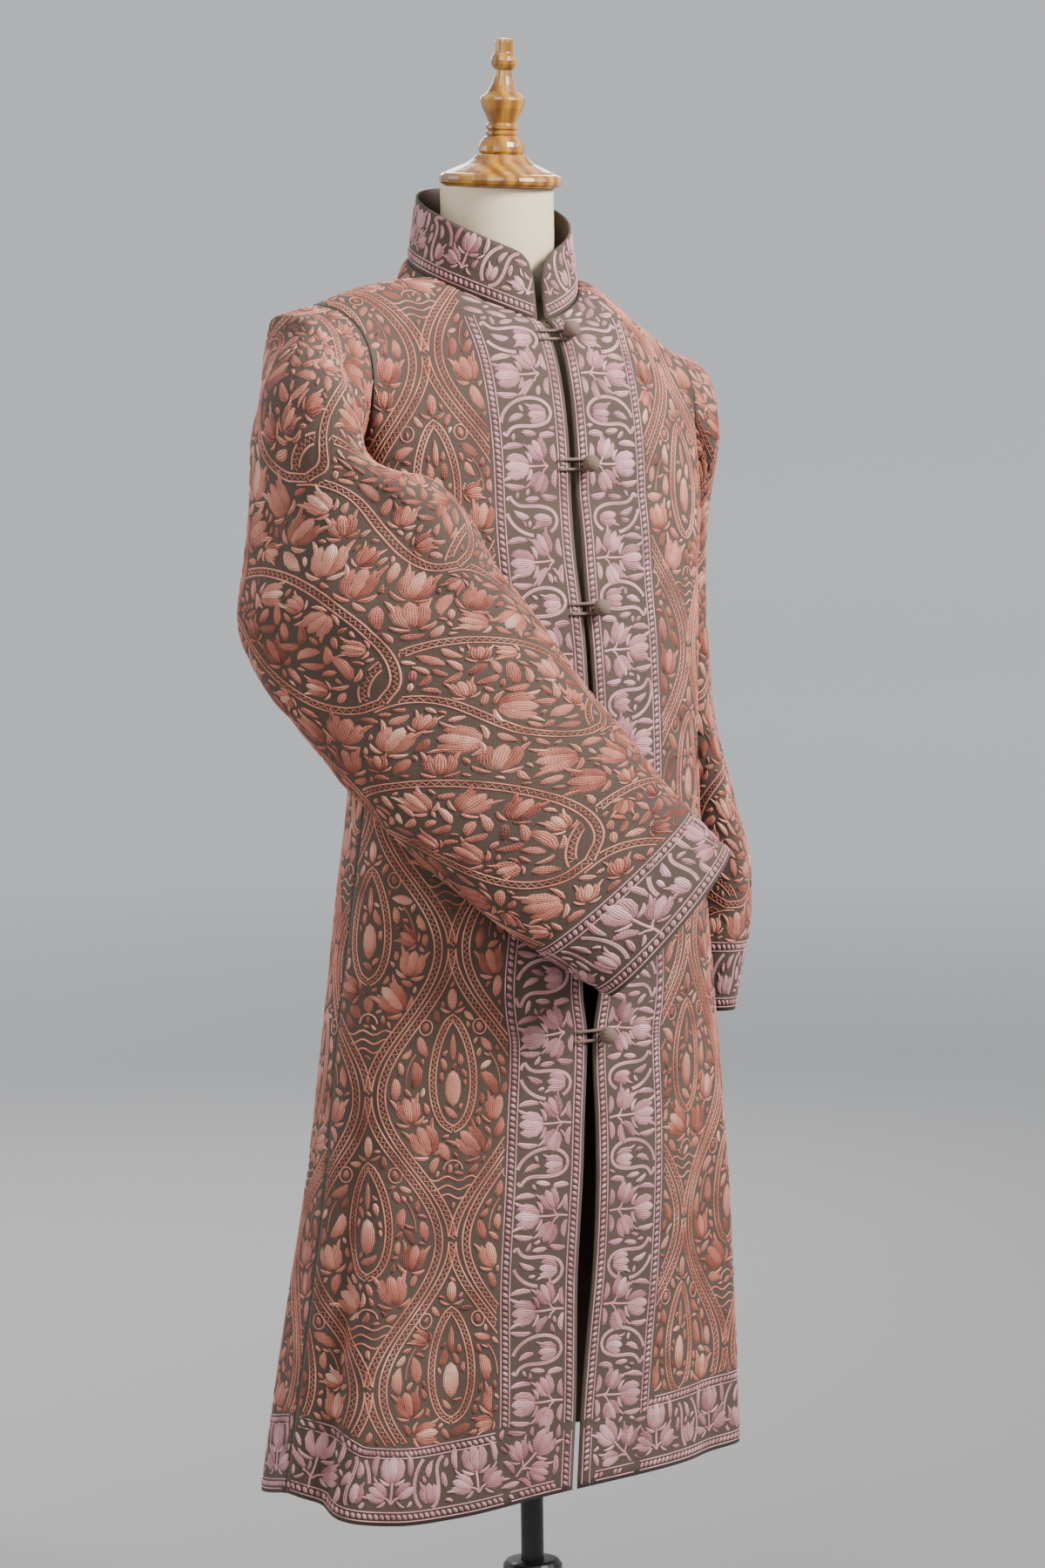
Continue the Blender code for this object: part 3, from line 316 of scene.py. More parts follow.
# %% Sizes of the coat, the same as the frame's
HEM_Z = 0.315
ARMPIT_Z = 1.21
SKIRT_ROWS = 20
CHEST_ROWS = 8
NECK_SHARE = 0.36
SEAM_GAP = 0.0003
BODY_LEVELS = [
    # z, shift, half_width, front, back, squareness
    (0.315, -0.018, 0.246, 0.100, 0.150, 2.0),
    (0.460, -0.010, 0.228, 0.103, 0.145, 2.0),
    (0.600, -0.002, 0.213, 0.106, 0.140, 2.0),
    (0.716, 0.000, 0.202, 0.106, 0.135, 2.0),
    (0.850, 0.004, 0.186, 0.107, 0.128, 2.1),
    (0.955, 0.006, 0.173, 0.108, 0.118, 2.2),
    (1.067, 0.004, 0.174, 0.105, 0.112, 2.3),
    (1.150, 0.000, 0.180, 0.098, 0.115, 2.4),
    (1.210, 0.000, 0.183, 0.090, 0.118, 2.5),
]
OPENING_GAPS = [
    # z, gap
    (0.315, 0.006), (0.385, 0.006), (0.450, 0.011), (0.520, 0.017), (0.640, 0.013), (0.726, 0.007),
    (0.770, 0.018), (0.854, 0.006), (0.981, 0.005), (1.108, 0.005), (1.170, 0.008), (1.236, 0.005),
    (1.300, 0.009), (1.350, 0.005), (1.363, 0.008),
]
BODY_FOLDS = [
    # angle_deg, low_z, high_z, depth, width_deg
    (-72.0, 0.20, 0.80, -0.012, 6.5), (-57.0, 0.20, 0.74, 0.007, 8.0), (-33.0, 0.20, 0.66, -0.005, 8.0),
    (46.0, 0.20, 0.72, -0.006, 9.0), (64.0, 0.20, 0.80, 0.007, 8.0), (68.0, 0.86, 1.16, -0.007, 7.0),
    (112.0, 0.20, 0.85, -0.010, 9.0), (140.0, 0.20, 0.80, 0.010, 10.0), (165.0, 0.20, 0.90, -0.008, 9.0),
    (196.0, 0.20, 0.84, 0.009, 9.0), (222.0, 0.20, 0.88, -0.009, 10.0), (248.0, 0.20, 0.78, 0.008, 8.0),
]
HEM_LIFTS = [(-38.0, -0.016, 26.0), (-86.0, 0.012, 16.0), (130.0, -0.008, 30.0)]
NECK_MIDDLE_Y = 0.039
NECK_HALF_WIDTH = 0.076
NECK_HALF_DEPTH = 0.080
NECK_FRONT_Z = 1.363
NECK_BACK_Z = 1.432
NECK_RISE_POWER = 0.6
NECK_SIDE_ANGLE = math.radians(82.0)
SHOULDER_TIPS = {-1: (-0.197, 0.028, 1.379), 1: (0.180, 0.028, 1.338)}
SHOULDER_ARCHES = {-1: 0.006, 1: -0.003}
ARMHOLE_SCOOP = 0.014
ARMHOLE_BULGE = 0.046

# %% The body's surface, below and above the armpits
def smooth_between(rows, at):
    """Every column but the first, on a smooth curve through a table whose first column rises."""
    if at <= rows[0][0]:
        return list(rows[0][1:])
    if at >= rows[-1][0]:
        return list(rows[-1][1:])
    index = max(i for i in range(len(rows) - 1) if rows[i][0] <= at)
    low, high = rows[index], rows[index + 1]
    before, after = rows[max(index - 1, 0)], rows[min(index + 2, len(rows) - 1)]
    span = high[0] - low[0]
    s = (at - low[0]) / span
    values = []
    for a, b, c, d in zip(before[1:], low[1:], high[1:], after[1:]):
        slope_low = (c - a) / (high[0] - before[0]) * span
        slope_high = (d - b) / (after[0] - low[0]) * span
        curve = (2 * s ** 3 - 3 * s ** 2 + 1) * b + (s ** 3 - 2 * s ** 2 + s) * slope_low
        curve += (3 * s ** 2 - 2 * s ** 3) * c + (s ** 3 - s ** 2) * slope_high
        values.append(curve if c != b else b)
    return values


def signed_power(value, power):
    return math.copysign(abs(value) ** power, value)


def soft_step(value, low, high):
    share = min(max((value - low) / (high - low), 0.0), 1.0)
    return share * share * (3 - 2 * share)


def wrapped(angle_deg):
    return (angle_deg + 180.0) % 360.0 - 180.0


def hem_height(angle_deg):
    height = HEM_Z
    for middle_deg, lift, width_deg in HEM_LIFTS:
        height += lift * math.exp(-(wrapped(angle_deg - middle_deg) / width_deg) ** 2)
    return height


def body_point(angle, z, levels=None):
    """A point below the armpits; angle 0 is the centre front, + the wearer's left."""
    shift, half_width, front, back, squareness = levels or smooth_between(BODY_LEVELS, z)
    depth = front if math.cos(angle) > 0 else back
    fold = 0.0
    for angle_deg, low_z, high_z, deep, width_deg in BODY_FOLDS:
        if z < high_z:
            off = wrapped(math.degrees(angle) - angle_deg) / width_deg
            fade = 1.0 - soft_step(z, low_z + 0.35 * (high_z - low_z), high_z)
            fold += deep * fade * math.exp(-off * off)
    x = (half_width + fold) * signed_power(math.sin(angle), 2.0 / squareness)
    y = -(depth + fold) * signed_power(math.cos(angle), 2.0 / squareness)
    return Vector((shift + x, y, z))


def neck_point(angle):
    """A point of the neckline; angle 0 is the centre front."""
    rise = (0.5 - 0.5 * math.cos(angle)) ** NECK_RISE_POWER
    return Vector((NECK_HALF_WIDTH * math.sin(angle), NECK_MIDDLE_Y - NECK_HALF_DEPTH * math.cos(angle),
                   NECK_FRONT_Z + (NECK_BACK_Z - NECK_FRONT_Z) * rise))


def neck_start():
    """The angle of the front edges at the neckline."""
    return math.asin(0.5 * smooth_between(OPENING_GAPS, NECK_FRONT_Z)[0] / NECK_HALF_WIDTH)


def top_edge(side, is_front, share):
    """The panel's top edge: the neckline up to NECK_SHARE, then the shoulder seam to its tip."""
    if share >= NECK_SHARE:
        along = (share - NECK_SHARE) / (1.0 - NECK_SHARE)
        point = neck_point(side * NECK_SIDE_ANGLE).lerp(Vector(SHOULDER_TIPS[side]), along)
        point.z += SHOULDER_ARCHES[side] * math.sin(math.pi * along)
        return point
    start = neck_start() if is_front else math.pi
    return neck_point(side * (start + (NECK_SIDE_ANGLE - start) * share / NECK_SHARE))


def lower_point(side, is_front, share, z):
    """A point below the armpits: share runs from the centre front or centre back to the side seam."""
    levels = smooth_between(BODY_LEVELS, z)
    start = math.pi
    if is_front:
        half_gap = 0.5 * smooth_between(OPENING_GAPS, z)[0]
        start = math.asin((half_gap / levels[1]) ** (levels[4] / 2.0))
    return body_point(side * (start + (math.pi / 2 - start) * share), z, levels)


def chest_point(side, is_front, share, rise):
    """A point above the armpits: share runs from the centre to the armhole, rise from armpit to top."""
    low = lower_point(side, is_front, share, ARMPIT_Z)
    high = top_edge(side, is_front, share)
    swell = math.sin(math.pi * rise) * max(0.0, (share - 0.5) / 0.5) ** 2
    x = low.x + (high.x - low.x) * rise - side * ARMHOLE_SCOOP * swell
    y = low.y + (high.y - low.y) * (1.0 - math.cos(rise * math.pi / 2))
    y += (-ARMHOLE_BULGE if is_front else ARMHOLE_BULGE) * swell
    return Vector((x, y, low.z + (high.z - low.z) * math.sin(rise * math.pi / 2)))


def panel_point(side, is_front, share, row):
    """A point of a body panel by row number, counted up from the hem."""
    if row <= SKIRT_ROWS:
        hem = hem_height(side * (90.0 * share if is_front else 180.0 - 90.0 * share))
        return lower_point(side, is_front, share, hem + (ARMPIT_Z - hem) * row / SKIRT_ROWS)
    return chest_point(side, is_front, share, (row - SKIRT_ROWS) / CHEST_ROWS)


print("Chest at the armpits, half round, in metres:", round(lower_point(1, True, 1.0, ARMPIT_Z).x, 3))

# %% [markdown]
# The sleeves are flattened tubes along a list of stations. The right one is bent across the front, the left
# one hangs straight with a bend at the elbow. A bent cylinder would look the same from afar, but stations let
# the tube start on the armhole's own edge and stay clear of the body.

# %% Sleeve tables, the same as the frame's
RIGHT_SLEEVE = [
    # outer edge,              inner edge,               front, back, turn_deg
    ((-0.233, 0.030, 1.369), (-0.197, 0.006, 1.205), 0.094, 0.052, 0.0),
    ((-0.248, 0.030, 1.316), (-0.188, -0.050, 1.222), 0.092, 0.054, 4.0),
    ((-0.257, 0.027, 1.235), (-0.165, -0.094, 1.230), 0.070, 0.052, 20.0),
    ((-0.273, 0.020, 1.160), (-0.134, -0.118, 1.200), 0.054, 0.048, 40.0),
    ((-0.288, 0.010, 1.106), (-0.114, -0.134, 1.153), 0.050, 0.046, 42.0),
    ((-0.281, -0.004, 1.064), (-0.096, -0.142, 1.128), 0.048, 0.044, 40.0),
    ((-0.262, -0.022, 1.024), (-0.078, -0.150, 1.102), 0.046, 0.042, 38.0),
    ((-0.238, -0.046, 0.986), (-0.060, -0.157, 1.075), 0.044, 0.040, 34.0),
    ((-0.220, -0.068, 0.951), (-0.032, -0.164, 1.036), 0.041, 0.036, 30.0),
    ((-0.179, -0.102, 0.899), (0.000, -0.172, 0.998), 0.038, 0.032, 24.0),
    ((-0.120, -0.134, 0.842), (0.032, -0.180, 0.956), 0.035, 0.028, 20.0),
    ((-0.072, -0.152, 0.805), (0.062, -0.186, 0.924), 0.032, 0.025, 16.0),
    ((-0.021, -0.168, 0.770), (0.093, -0.192, 0.893), 0.030, 0.022, 14.0),
]
LEFT_SLEEVE = [
    # outer edge,             inner edge,              front, back, turn_deg
    ((0.203, 0.032, 1.330), (0.194, 0.012, 1.204), 0.056, 0.054, 0.0),
    ((0.220, 0.046, 1.280), (0.186, 0.034, 1.192), 0.058, 0.058, 4.0),
    ((0.229, 0.066, 1.215), (0.174, 0.058, 1.170), 0.060, 0.060, 6.0),
    ((0.238, 0.082, 1.150), (0.170, 0.076, 1.120), 0.063, 0.062, 6.0),
    ((0.248, 0.092, 1.090), (0.172, 0.088, 1.072), 0.066, 0.064, 6.0),
    ((0.256, 0.098, 1.030), (0.182, 0.092, 1.022), 0.066, 0.064, 6.0),
    ((0.270, 0.100, 0.970), (0.198, 0.094, 0.968), 0.066, 0.062, 6.0),
    ((0.287, 0.098, 0.910), (0.214, 0.092, 0.910), 0.066, 0.060, 6.0),
    ((0.300, 0.094, 0.856), (0.227, 0.088, 0.856), 0.066, 0.060, 6.0),
    ((0.297, 0.090, 0.808), (0.225, 0.084, 0.808), 0.066, 0.060, 6.0),
    ((0.281, 0.090, 0.760), (0.217, 0.084, 0.760), 0.066, 0.060, 6.0),
    ((0.270, 0.092, 0.712), (0.212, 0.086, 0.712), 0.066, 0.060, 6.0),
]
RIGHT_SLEEVE_FOLDS = [(118.0, 1.4, 5.4, -0.005, 14.0), (84.0, 2.0, 5.4, 0.004, 20.0),
                      (52.0, 3.4, 7.0, -0.006, 16.0), (232.0, 3.0, 7.0, -0.006, 20.0)]
LEFT_SLEEVE_FOLDS = [(62.0, 4.6, 9.6, -0.010, 22.0), (118.0, 0.8, 5.4, -0.005, 16.0),
                     (250.0, 2.0, 8.0, -0.006, 24.0)]
SLEEVE_CLEARANCE = 0.004
RIGHT_FRONT_CLEARANCE = 0.022

# %% The sleeves' surface
def clear_of_body(point, clearance):
    """Move a point straight out until it lies clear of the body at its height."""
    shift, half_width, front, back, squareness = smooth_between(BODY_LEVELS, min(point.z, ARMPIT_Z))
    x = (point.x - shift) / (half_width + clearance + 0.004)
    y = point.y / ((front if point.y < 0 else back) + clearance + 0.004)
    reach = (abs(x) ** squareness + abs(y) ** squareness) ** (1.0 / squareness)
    if reach >= 1.0 or reach == 0.0:
        return point
    return Vector((shift + (point.x - shift) / reach, point.y / reach, point.z))


def sleeve_ring(side, stations, folds, front_clearance, place, turns):
    """The sleeve's points at these turns round it; place counts stations, and -1 is the armhole."""
    if place <= -1:
        ring = []
        for turn in turns:
            share = (turn / math.pi) % 2.0
            rise = 1.0 - share if share < 1.0 else share - 1.0
            ring.append(chest_point(side, share < 1.0, 1.0, rise) + Vector((side * 2 * SEAM_GAP, 0, 0)))
        return ring
    if place < 0:
        near = sleeve_ring(side, stations, folds, front_clearance, -1, turns)
        far = sleeve_ring(side, stations, folds, front_clearance, 0, turns)
        return [a.lerp(b, place + 1) for a, b in zip(near, far)]
    table = [(float(n), *outer, *inner, *rest) for n, (outer, inner, *rest) in enumerate(stations)]
    values = smooth_between(table, place)
    outer_edge, inner_edge = Vector(values[0:3]), Vector(values[3:6])
    half = (outer_edge - inner_edge) / 2
    turned_by = math.radians(values[8])
    facing = Vector((side * math.sin(turned_by), -math.cos(turned_by), 0))
    facing -= half * (facing.dot(half) / half.length_squared)
    facing.normalize()
    ring = []
    for turn in turns:
        bulge = values[6] if math.sin(turn) > 0 else values[7]
        for angle_deg, first, last, depth, width_deg in folds:
            off = wrapped(math.degrees(turn) - angle_deg) / width_deg
            ends = soft_step(place, first, first + 1.0) * (1.0 - soft_step(place, last - 1.0, last))
            bulge += depth * ends * math.exp(-off * off) / max(abs(math.sin(turn)), 0.4)
        point = (outer_edge + inner_edge) / 2 + half * math.cos(turn) + facing * bulge * math.sin(turn)
        near_front = soft_step(-point.y, 0.03, 0.09)
        clearance = SLEEVE_CLEARANCE + (front_clearance - SLEEVE_CLEARANCE) * near_front
        ring.append(clear_of_body(point, clearance * min(1.0, (place + 0.15) / 1.5)))
    return ring


# %% The collar's surface
COLLAR_HEIGHT = 0.057
COLLAR_CORNER = 0.020
COLLAR_LEAN_IN = 0.006
COLLAR_LEAN_FORWARD = 0.006


def collar_point(angle, rise):
    """A point of the stand collar: angle round the neck, rise from the neck seam to the top edge."""
    from_edge = max(0.0, (abs(angle) - neck_start()) * NECK_HALF_DEPTH)
    height = COLLAR_HEIGHT
    if from_edge < COLLAR_CORNER:
        height -= COLLAR_CORNER - math.sqrt(COLLAR_CORNER ** 2 - (COLLAR_CORNER - from_edge) ** 2)
    point = neck_point(angle)
    point -= Vector((math.sin(angle), -math.cos(angle), 0)) * (rise * COLLAR_LEAN_IN)
    point.y -= rise * COLLAR_LEAN_FORWARD * (0.5 - 0.5 * math.cos(angle))
    point.z += 2 * SEAM_GAP + rise * height
    return point

# %% [markdown]
# ## Lay each piece flat
# The embroiderer works on flat cloth, and so does this lesson. Each piece is a grid of points in space. It is
# laid flat as a pattern cutter would lay it: every thread between neighbouring points keeps its length while
# the points settle in a plane. Motifs drawn on the flat piece can then be carried back to the coat.

# %% A piece of cloth: in space, laid flat, and a fine chart between the two
CHART_MM = 1.5
ON_CLOTH = 0.0002
FIRST_ROUNDS = 900
LAST_ROUNDS = 60


def settle(flat, grid, rounds):
    """Move the flat points until neighbours are as far apart as they are on the coat."""
    pairs = []
    for down, across in ((1, 0), (0, 1), (1, 1), (1, -1), (3, 0), (0, 3)):
        near = (slice(None, -down or None), slice(max(-across, 0), -across if across > 0 else None))
        far = (slice(down, None), slice(max(across, 0), across if across < 0 else None))
        if min(grid[near].shape[:2]) > 0:
            pairs.append((near, far, np.linalg.norm(grid[far] - grid[near], axis=2)))
    for _ in range(rounds):
        move = np.zeros_like(flat)
        for near, far, length in pairs:
            step = flat[far] - flat[near]
            now = np.maximum(np.linalg.norm(step, axis=2), 1e-6)
            pull = step * ((now - length) / now * 0.5)[..., None]
            move[near] += pull
            move[far] -= pull
        flat = flat + move * 0.22
    return flat


def finer(coarse, rows, columns):
    """A coarse grid of flat points, read at rows x columns evenly spaced places."""
    for axis, count in ((0, rows), (1, columns)):
        at = np.linspace(0, coarse.shape[axis] - 1, count)
        low = np.minimum(at.astype(int), coarse.shape[axis] - 2)
        share = at - low
        share = share[:, None, None] if axis == 0 else share[None, :, None]
        coarse = np.take(coarse, low, axis) * (1 - share) + np.take(coarse, low + 1, axis) * share
    return coarse


class Cloth:
    """One cut piece: its points in space, the same points laid flat, and a chart of what is taken."""

    def __init__(self, name, grid, middle_column, stride, start_x=None, core=None, bent=False):
        self.name = name
        self.grid = np.array(grid)
        rows, columns = self.grid.shape[:2]
        thin = self.grid[::stride[0], ::stride[1]]
        along = np.linalg.norm(np.diff(thin, axis=1), axis=2)
        up = np.linalg.norm(np.diff(thin, axis=0), axis=2)
        x = np.concatenate([np.zeros((len(thin), 1)), np.cumsum(along, axis=1)], axis=1)
        x -= x[:, middle_column // stride[1]][:, None]
        y = np.concatenate([np.zeros((1, thin.shape[1])), np.cumsum(up, axis=0)], axis=0)
        if start_x is not None:
            x = start_x(x, thin)
        if bent:
            round_it = x[:, -1:] - x[:, :1]
            x = np.linspace(-0.5, 0.5, x.shape[1])[None] * round_it
            y = np.broadcast_to(y.mean(axis=1, keepdims=True), y.shape)
            flat = finer(np.stack([x, y], axis=2), rows, columns)
        else:
            flat = settle(np.stack([x, y], axis=2), thin, FIRST_ROUNDS)
            flat = settle(finer(flat, rows, columns), self.grid, LAST_ROUNDS)
        foot, head = flat[0, middle_column], flat[-1, middle_column]
        turn = math.atan2(head[0] - foot[0], head[1] - foot[1])
        spin = np.array([[math.cos(turn), math.sin(turn)], [-math.sin(turn), math.cos(turn)]])
        self.flat = (flat - foot) @ spin
        step_up = np.gradient(self.grid, axis=0)
        step_on = np.gradient(self.grid, axis=1)
        normal = np.cross(step_on, step_up)
        normal /= np.maximum(np.linalg.norm(normal, axis=2, keepdims=True), 1e-9)
        inner = self.grid.mean(axis=1, keepdims=True) if core is None else core(self.grid)
        self.outward = 1.0 if (normal * (self.grid - inner)).sum() > 0 else -1.0
        self.normal = normal * self.outward
        self.leaves = {}
        self.lines = {}

    def crease(self, creases):
        """Press soft creases into the cloth: lines in flat millimetres, how deep and how wide."""
        for x0, y0, x1, y1, depth, width in creases:
            start, end = np.array([x0, y0]) / 1000, np.array([x1, y1]) / 1000
            run = end - start
            share = np.clip(((self.flat - start) @ run) / (run @ run), 0, 1)
            off = np.linalg.norm(self.flat - start - share[..., None] * run, axis=2) / (width / 1000)
            fade = np.sin(np.clip(0.12 + 0.76 * share, 0, 1) * math.pi)
            self.grid = self.grid + self.normal * (depth / 1000 * fade * np.exp(-off * off))[..., None]

    def chart(self):
        """Find, for every small square of the flat piece, its place and outward direction in space."""
        rows, columns = self.grid.shape[:2]
        corner = np.arange(rows * columns).reshape(rows, columns)
        quads = np.stack([corner[:-1, :-1], corner[:-1, 1:], corner[1:, 1:], corner[1:, :-1]], axis=2)
        quads = quads.reshape(-1, 4)
        triangles = np.concatenate([quads[:, [0, 1, 2]], quads[:, [0, 2, 3]]])
        points = self.flat.reshape(-1, 2)
        flat_3d = np.concatenate([points, np.zeros((len(points), 1))], axis=1)
        tree = BVHTree.FromPolygons(flat_3d.tolist(), triangles.tolist())
        self.step = CHART_MM / 1000
        self.low = points.min(axis=0) - 2 * self.step
        size = np.ceil((points.max(axis=0) - self.low) / self.step).astype(int) + 3
        xs = self.low[0] + np.arange(size[0]) * self.step
        ys = self.low[1] + np.arange(size[1]) * self.step
        found = [tree.find_nearest((x, y, 0.0)) for y in ys.tolist() for x in xs.tolist()]
        index = np.array([hit[2] for hit in found])
        hit_at = np.array([hit[0][:2] for hit in found])
        away = np.array([hit[3] for hit in found]).reshape(size[1], size[0])
        a, b, c = (points[triangles[index, k]] for k in range(3))
        to_b, to_c, to_hit = b - a, c - a, hit_at - a
        area = to_b[:, 0] * to_c[:, 1] - to_c[:, 0] * to_b[:, 1]
        area = np.where(np.abs(area) < 1e-12, 1e-12, area)
        v = (to_hit[:, 0] * to_c[:, 1] - to_c[:, 0] * to_hit[:, 1]) / area
        w = (to_b[:, 0] * to_hit[:, 1] - to_hit[:, 0] * to_b[:, 1]) / area
        weights = np.stack([1 - v - w, v, w], axis=1)[..., None]
        place = self.grid.reshape(-1, 3)[triangles[index]]
        normal = self.normal.reshape(-1, 3)[triangles[index]]
        self.place = (place * weights).sum(axis=1).reshape(size[1], size[0], 3)
        self.facing = (normal * weights).sum(axis=1).reshape(size[1], size[0], 3)
        outside = away >= ON_CLOTH
        edge = outside.copy()
        edge[1:] |= outside[:-1]
        edge[:-1] |= outside[1:]
        edge[:, 1:] |= outside[:, :-1]
        edge[:, :-1] |= outside[:, 1:]
        self.free = ~edge
        self.room = self.free.copy()

    def read(self, values, points):
        """Smoothly read a charted value at flat points."""
        at = (points - self.low) / self.step
        at = np.clip(at, 0, np.array(values.shape[1::-1]) - 1.001)
        low = at.astype(int)
        share = at - low
        x, y = low[..., 0], low[..., 1]
        s, t = share[..., 0, None], share[..., 1, None]
        return ((values[y, x] * (1 - s) + values[y, x + 1] * s) * (1 - t)
                + (values[y + 1, x] * (1 - s) + values[y + 1, x + 1] * s) * t)

    def cells(self, points):
        """Rows and columns of the chart squares that flat points fall in."""
        at = np.rint((points - self.low) / self.step).astype(int)
        limit = np.array(self.free.shape[::-1]) - 1
        return np.clip(at[..., 1], 0, limit[1]), np.clip(at[..., 0], 0, limit[0])

# %% [markdown]
# The columns of a front run from its centre edge to its side seam, those of the back from seam to seam, those
# of a sleeve once round from the seam under the arm, and those of the collar once round the neck.

# %% The six cut pieces
FINE = 5
BODY_ROWS = np.linspace(0, SKIRT_ROWS + CHEST_ROWS, (SKIRT_ROWS + CHEST_ROWS) * FINE + 1)
SEAM_SHARE = 0.001


def coat_core(grid):
    """Points inside the body at each point's height."""
    inner = grid.copy()
    inner[..., 0] *= 0.5
    inner[..., 1] = 0.02
    return inner


def narrow_to_shoulder(x, thin):
    """First guess above the armpits: the flat width closes in to the shoulder's own width."""
    rise = np.clip(np.arange(len(thin)) - SKIRT_ROWS, 0, CHEST_ROWS) / CHEST_ROWS
    side = np.sign(x)
    top = np.abs(thin[..., 0])
    at_armpit = np.abs(x[SKIRT_ROWS])
    chest = side * (at_armpit[None] * (1 - rise[:, None]) + top * rise[:, None])
    return np.where(rise[:, None] > 0, chest, x)


def make_cloths():
    """The grids of the six pieces, each with its flat pattern."""
    made = {}
    for name, side in (("front_right", -1), ("front_left", 1)):
        shares = np.linspace(0, 1 - SEAM_SHARE, 49)
        grid = [[panel_point(side, True, share, row) for share in shares] for row in BODY_ROWS]
        grid[-1] = [point + Vector((0, -SEAM_GAP, 0)) for point in grid[-1]]
        made[name] = Cloth(name, grid, 0, (FINE, 4), narrow_to_shoulder, coat_core)
    shares = np.linspace(SEAM_SHARE - 1, 1 - SEAM_SHARE, 97)
    sides = np.where(shares < 0, -1, 1)
    grid = [[panel_point(int(side), False, abs(share), row) for side, share in zip(sides, shares)]
            for row in BODY_ROWS]
    grid[-1] = [point + Vector((0, SEAM_GAP, 0)) for point in grid[-1]]
    made["back"] = Cloth("back", grid, 48, (FINE, 4), narrow_to_shoulder, coat_core)
    turns = np.linspace(-math.pi, math.pi, 73)
    for name, side, stations, folds, room in (
            ("sleeve_right", -1, RIGHT_SLEEVE, RIGHT_SLEEVE_FOLDS, RIGHT_FRONT_CLEARANCE),
            ("sleeve_left", 1, LEFT_SLEEVE, LEFT_SLEEVE_FOLDS, SLEEVE_CLEARANCE)):
        places = np.linspace(len(stations) - 1, -1, len(stations) * 7 + 1)
        grid = [sleeve_ring(side, stations, folds, room, place, turns) for place in places]
        made[name] = Cloth(name, grid, 36, (7, 4), bent=True)
    around = np.linspace(neck_start(), 2 * math.pi - neck_start(), 97)
    angles = [-q if q <= math.pi else 2 * math.pi - q for q in around]
    grid = [[collar_point(angle, rise) for angle in angles] for rise in np.linspace(0, 1, 13)]
    made["collar"] = Cloth("collar", grid, 48, (4, 4), None, coat_core)
    return made


cloths = make_cloths()
for cloth in cloths.values():
    size = cloth.flat.reshape(-1, 2).max(axis=0) - cloth.flat.reshape(-1, 2).min(axis=0)
    print(cloth.name, "flat pattern in metres:", np.round(size, 3), "outward", cloth.outward)

# %% [markdown]
# ## Press in the creases
# A worn coat is never smooth. Each crease is a line on the flat cloth with a depth and a width; it fades out
# at both ends. A cloth simulation could fold the pieces too, but it would pull them off their seams. Creases
# come before the chart, so the embroidery later follows them.

# %% Creases, in flat millimetres
CREASES = {
    # name: (x0, y0, x1, y1, depth, width)
    "front_right": [
        (120, 40, 150, 420, -3.0, 26), (205, 30, 190, 520, 3.0, 30),
        (60, 560, 200, 640, -1.6, 14), (70, 690, 190, 660, -1.4, 12),
        (150, 800, 250, 880, -2.0, 14), (40, 300, 95, 470, 1.4, 22),
    ],
    "front_left": [
        (130, 40, 165, 460, -3.2, 26), (215, 30, 205, 500, 3.0, 30),
        (70, 585, 190, 625, -1.5, 13), (150, 820, 240, 900, -2.2, 15),
        (90, 690, 210, 640, -1.4, 12), (50, 250, 80, 430, 1.4, 20),
    ],
    "back": [
        (-190, 30, -170, 480, -3.4, 28), (-70, 30, -60, 520, 3.4, 32),
        (80, 30, 66, 470, -3.4, 28), (205, 30, 180, 520, 3.0, 30),
        (-150, 560, 0, 610, -1.7, 15), (150, 590, 10, 640, -1.7, 15),
        (-210, 840, -120, 900, -2.2, 16), (210, 830, 120, 900, -2.2, 16),
        (-60, 960, 60, 975, -1.4, 14),
    ],
    "sleeve_right": [
        (-70, 640, 30, 600, -3.0, 9), (-40, 585, 60, 540, -3.2, 10),
        (20, 590, 90, 430, -2.6, 11), (95, 560, 20, 380, -2.4, 12),
        (-90, 470, 10, 420, -2.2, 10), (-30, 330, 80, 300, -2.4, 10),
        (60, 250, -50, 200, -1.8, 11), (-80, 280, 10, 240, -1.8, 10),
        (-150, 520, -90, 380, -2.4, 14), (130, 500, 150, 330, -2.2, 14),
    ],
    "sleeve_left": [
        (-60, 600, 20, 570, -2.4, 9), (50, 560, -20, 500, -2.2, 10),
        (-70, 430, 30, 395, -2.6, 10), (60, 380, -30, 340, -2.4, 10),
        (-60, 300, 40, 270, -1.8, 10), (60, 200, -40, 165, -1.6, 10),
        (-100, 480, -70, 330, -2.2, 13), (100, 470, 90, 320, -2.2, 13),
    ],
    "collar": [],
}
for name, cloth in cloths.items():
    cloth.crease(CREASES[name])
    cloth.chart()
    print(name, "has", len(CREASES[name]), "creases and a chart of", cloth.free.shape)

# %% [markdown]
# ## Two marks of the needle
# Everything in the embroidery is one of two marks. A leaf is a patch of rows from a base to a tip. A line is
# a single cord of stitches. A motif is a handful of both, drawn once in millimetres and used many times.

# %% Leaves, lines and motifs
PROFILES = ((0.85, 0.75), (1.25, 0.60), (1.0, 0.50))
POINTED, BLUNT, OVAL = 0, 1, 2
X, Y, TIP_X, TIP_Y, WIDTH, BEND, LIFT, KIND, TONE, GROUP = range(10)


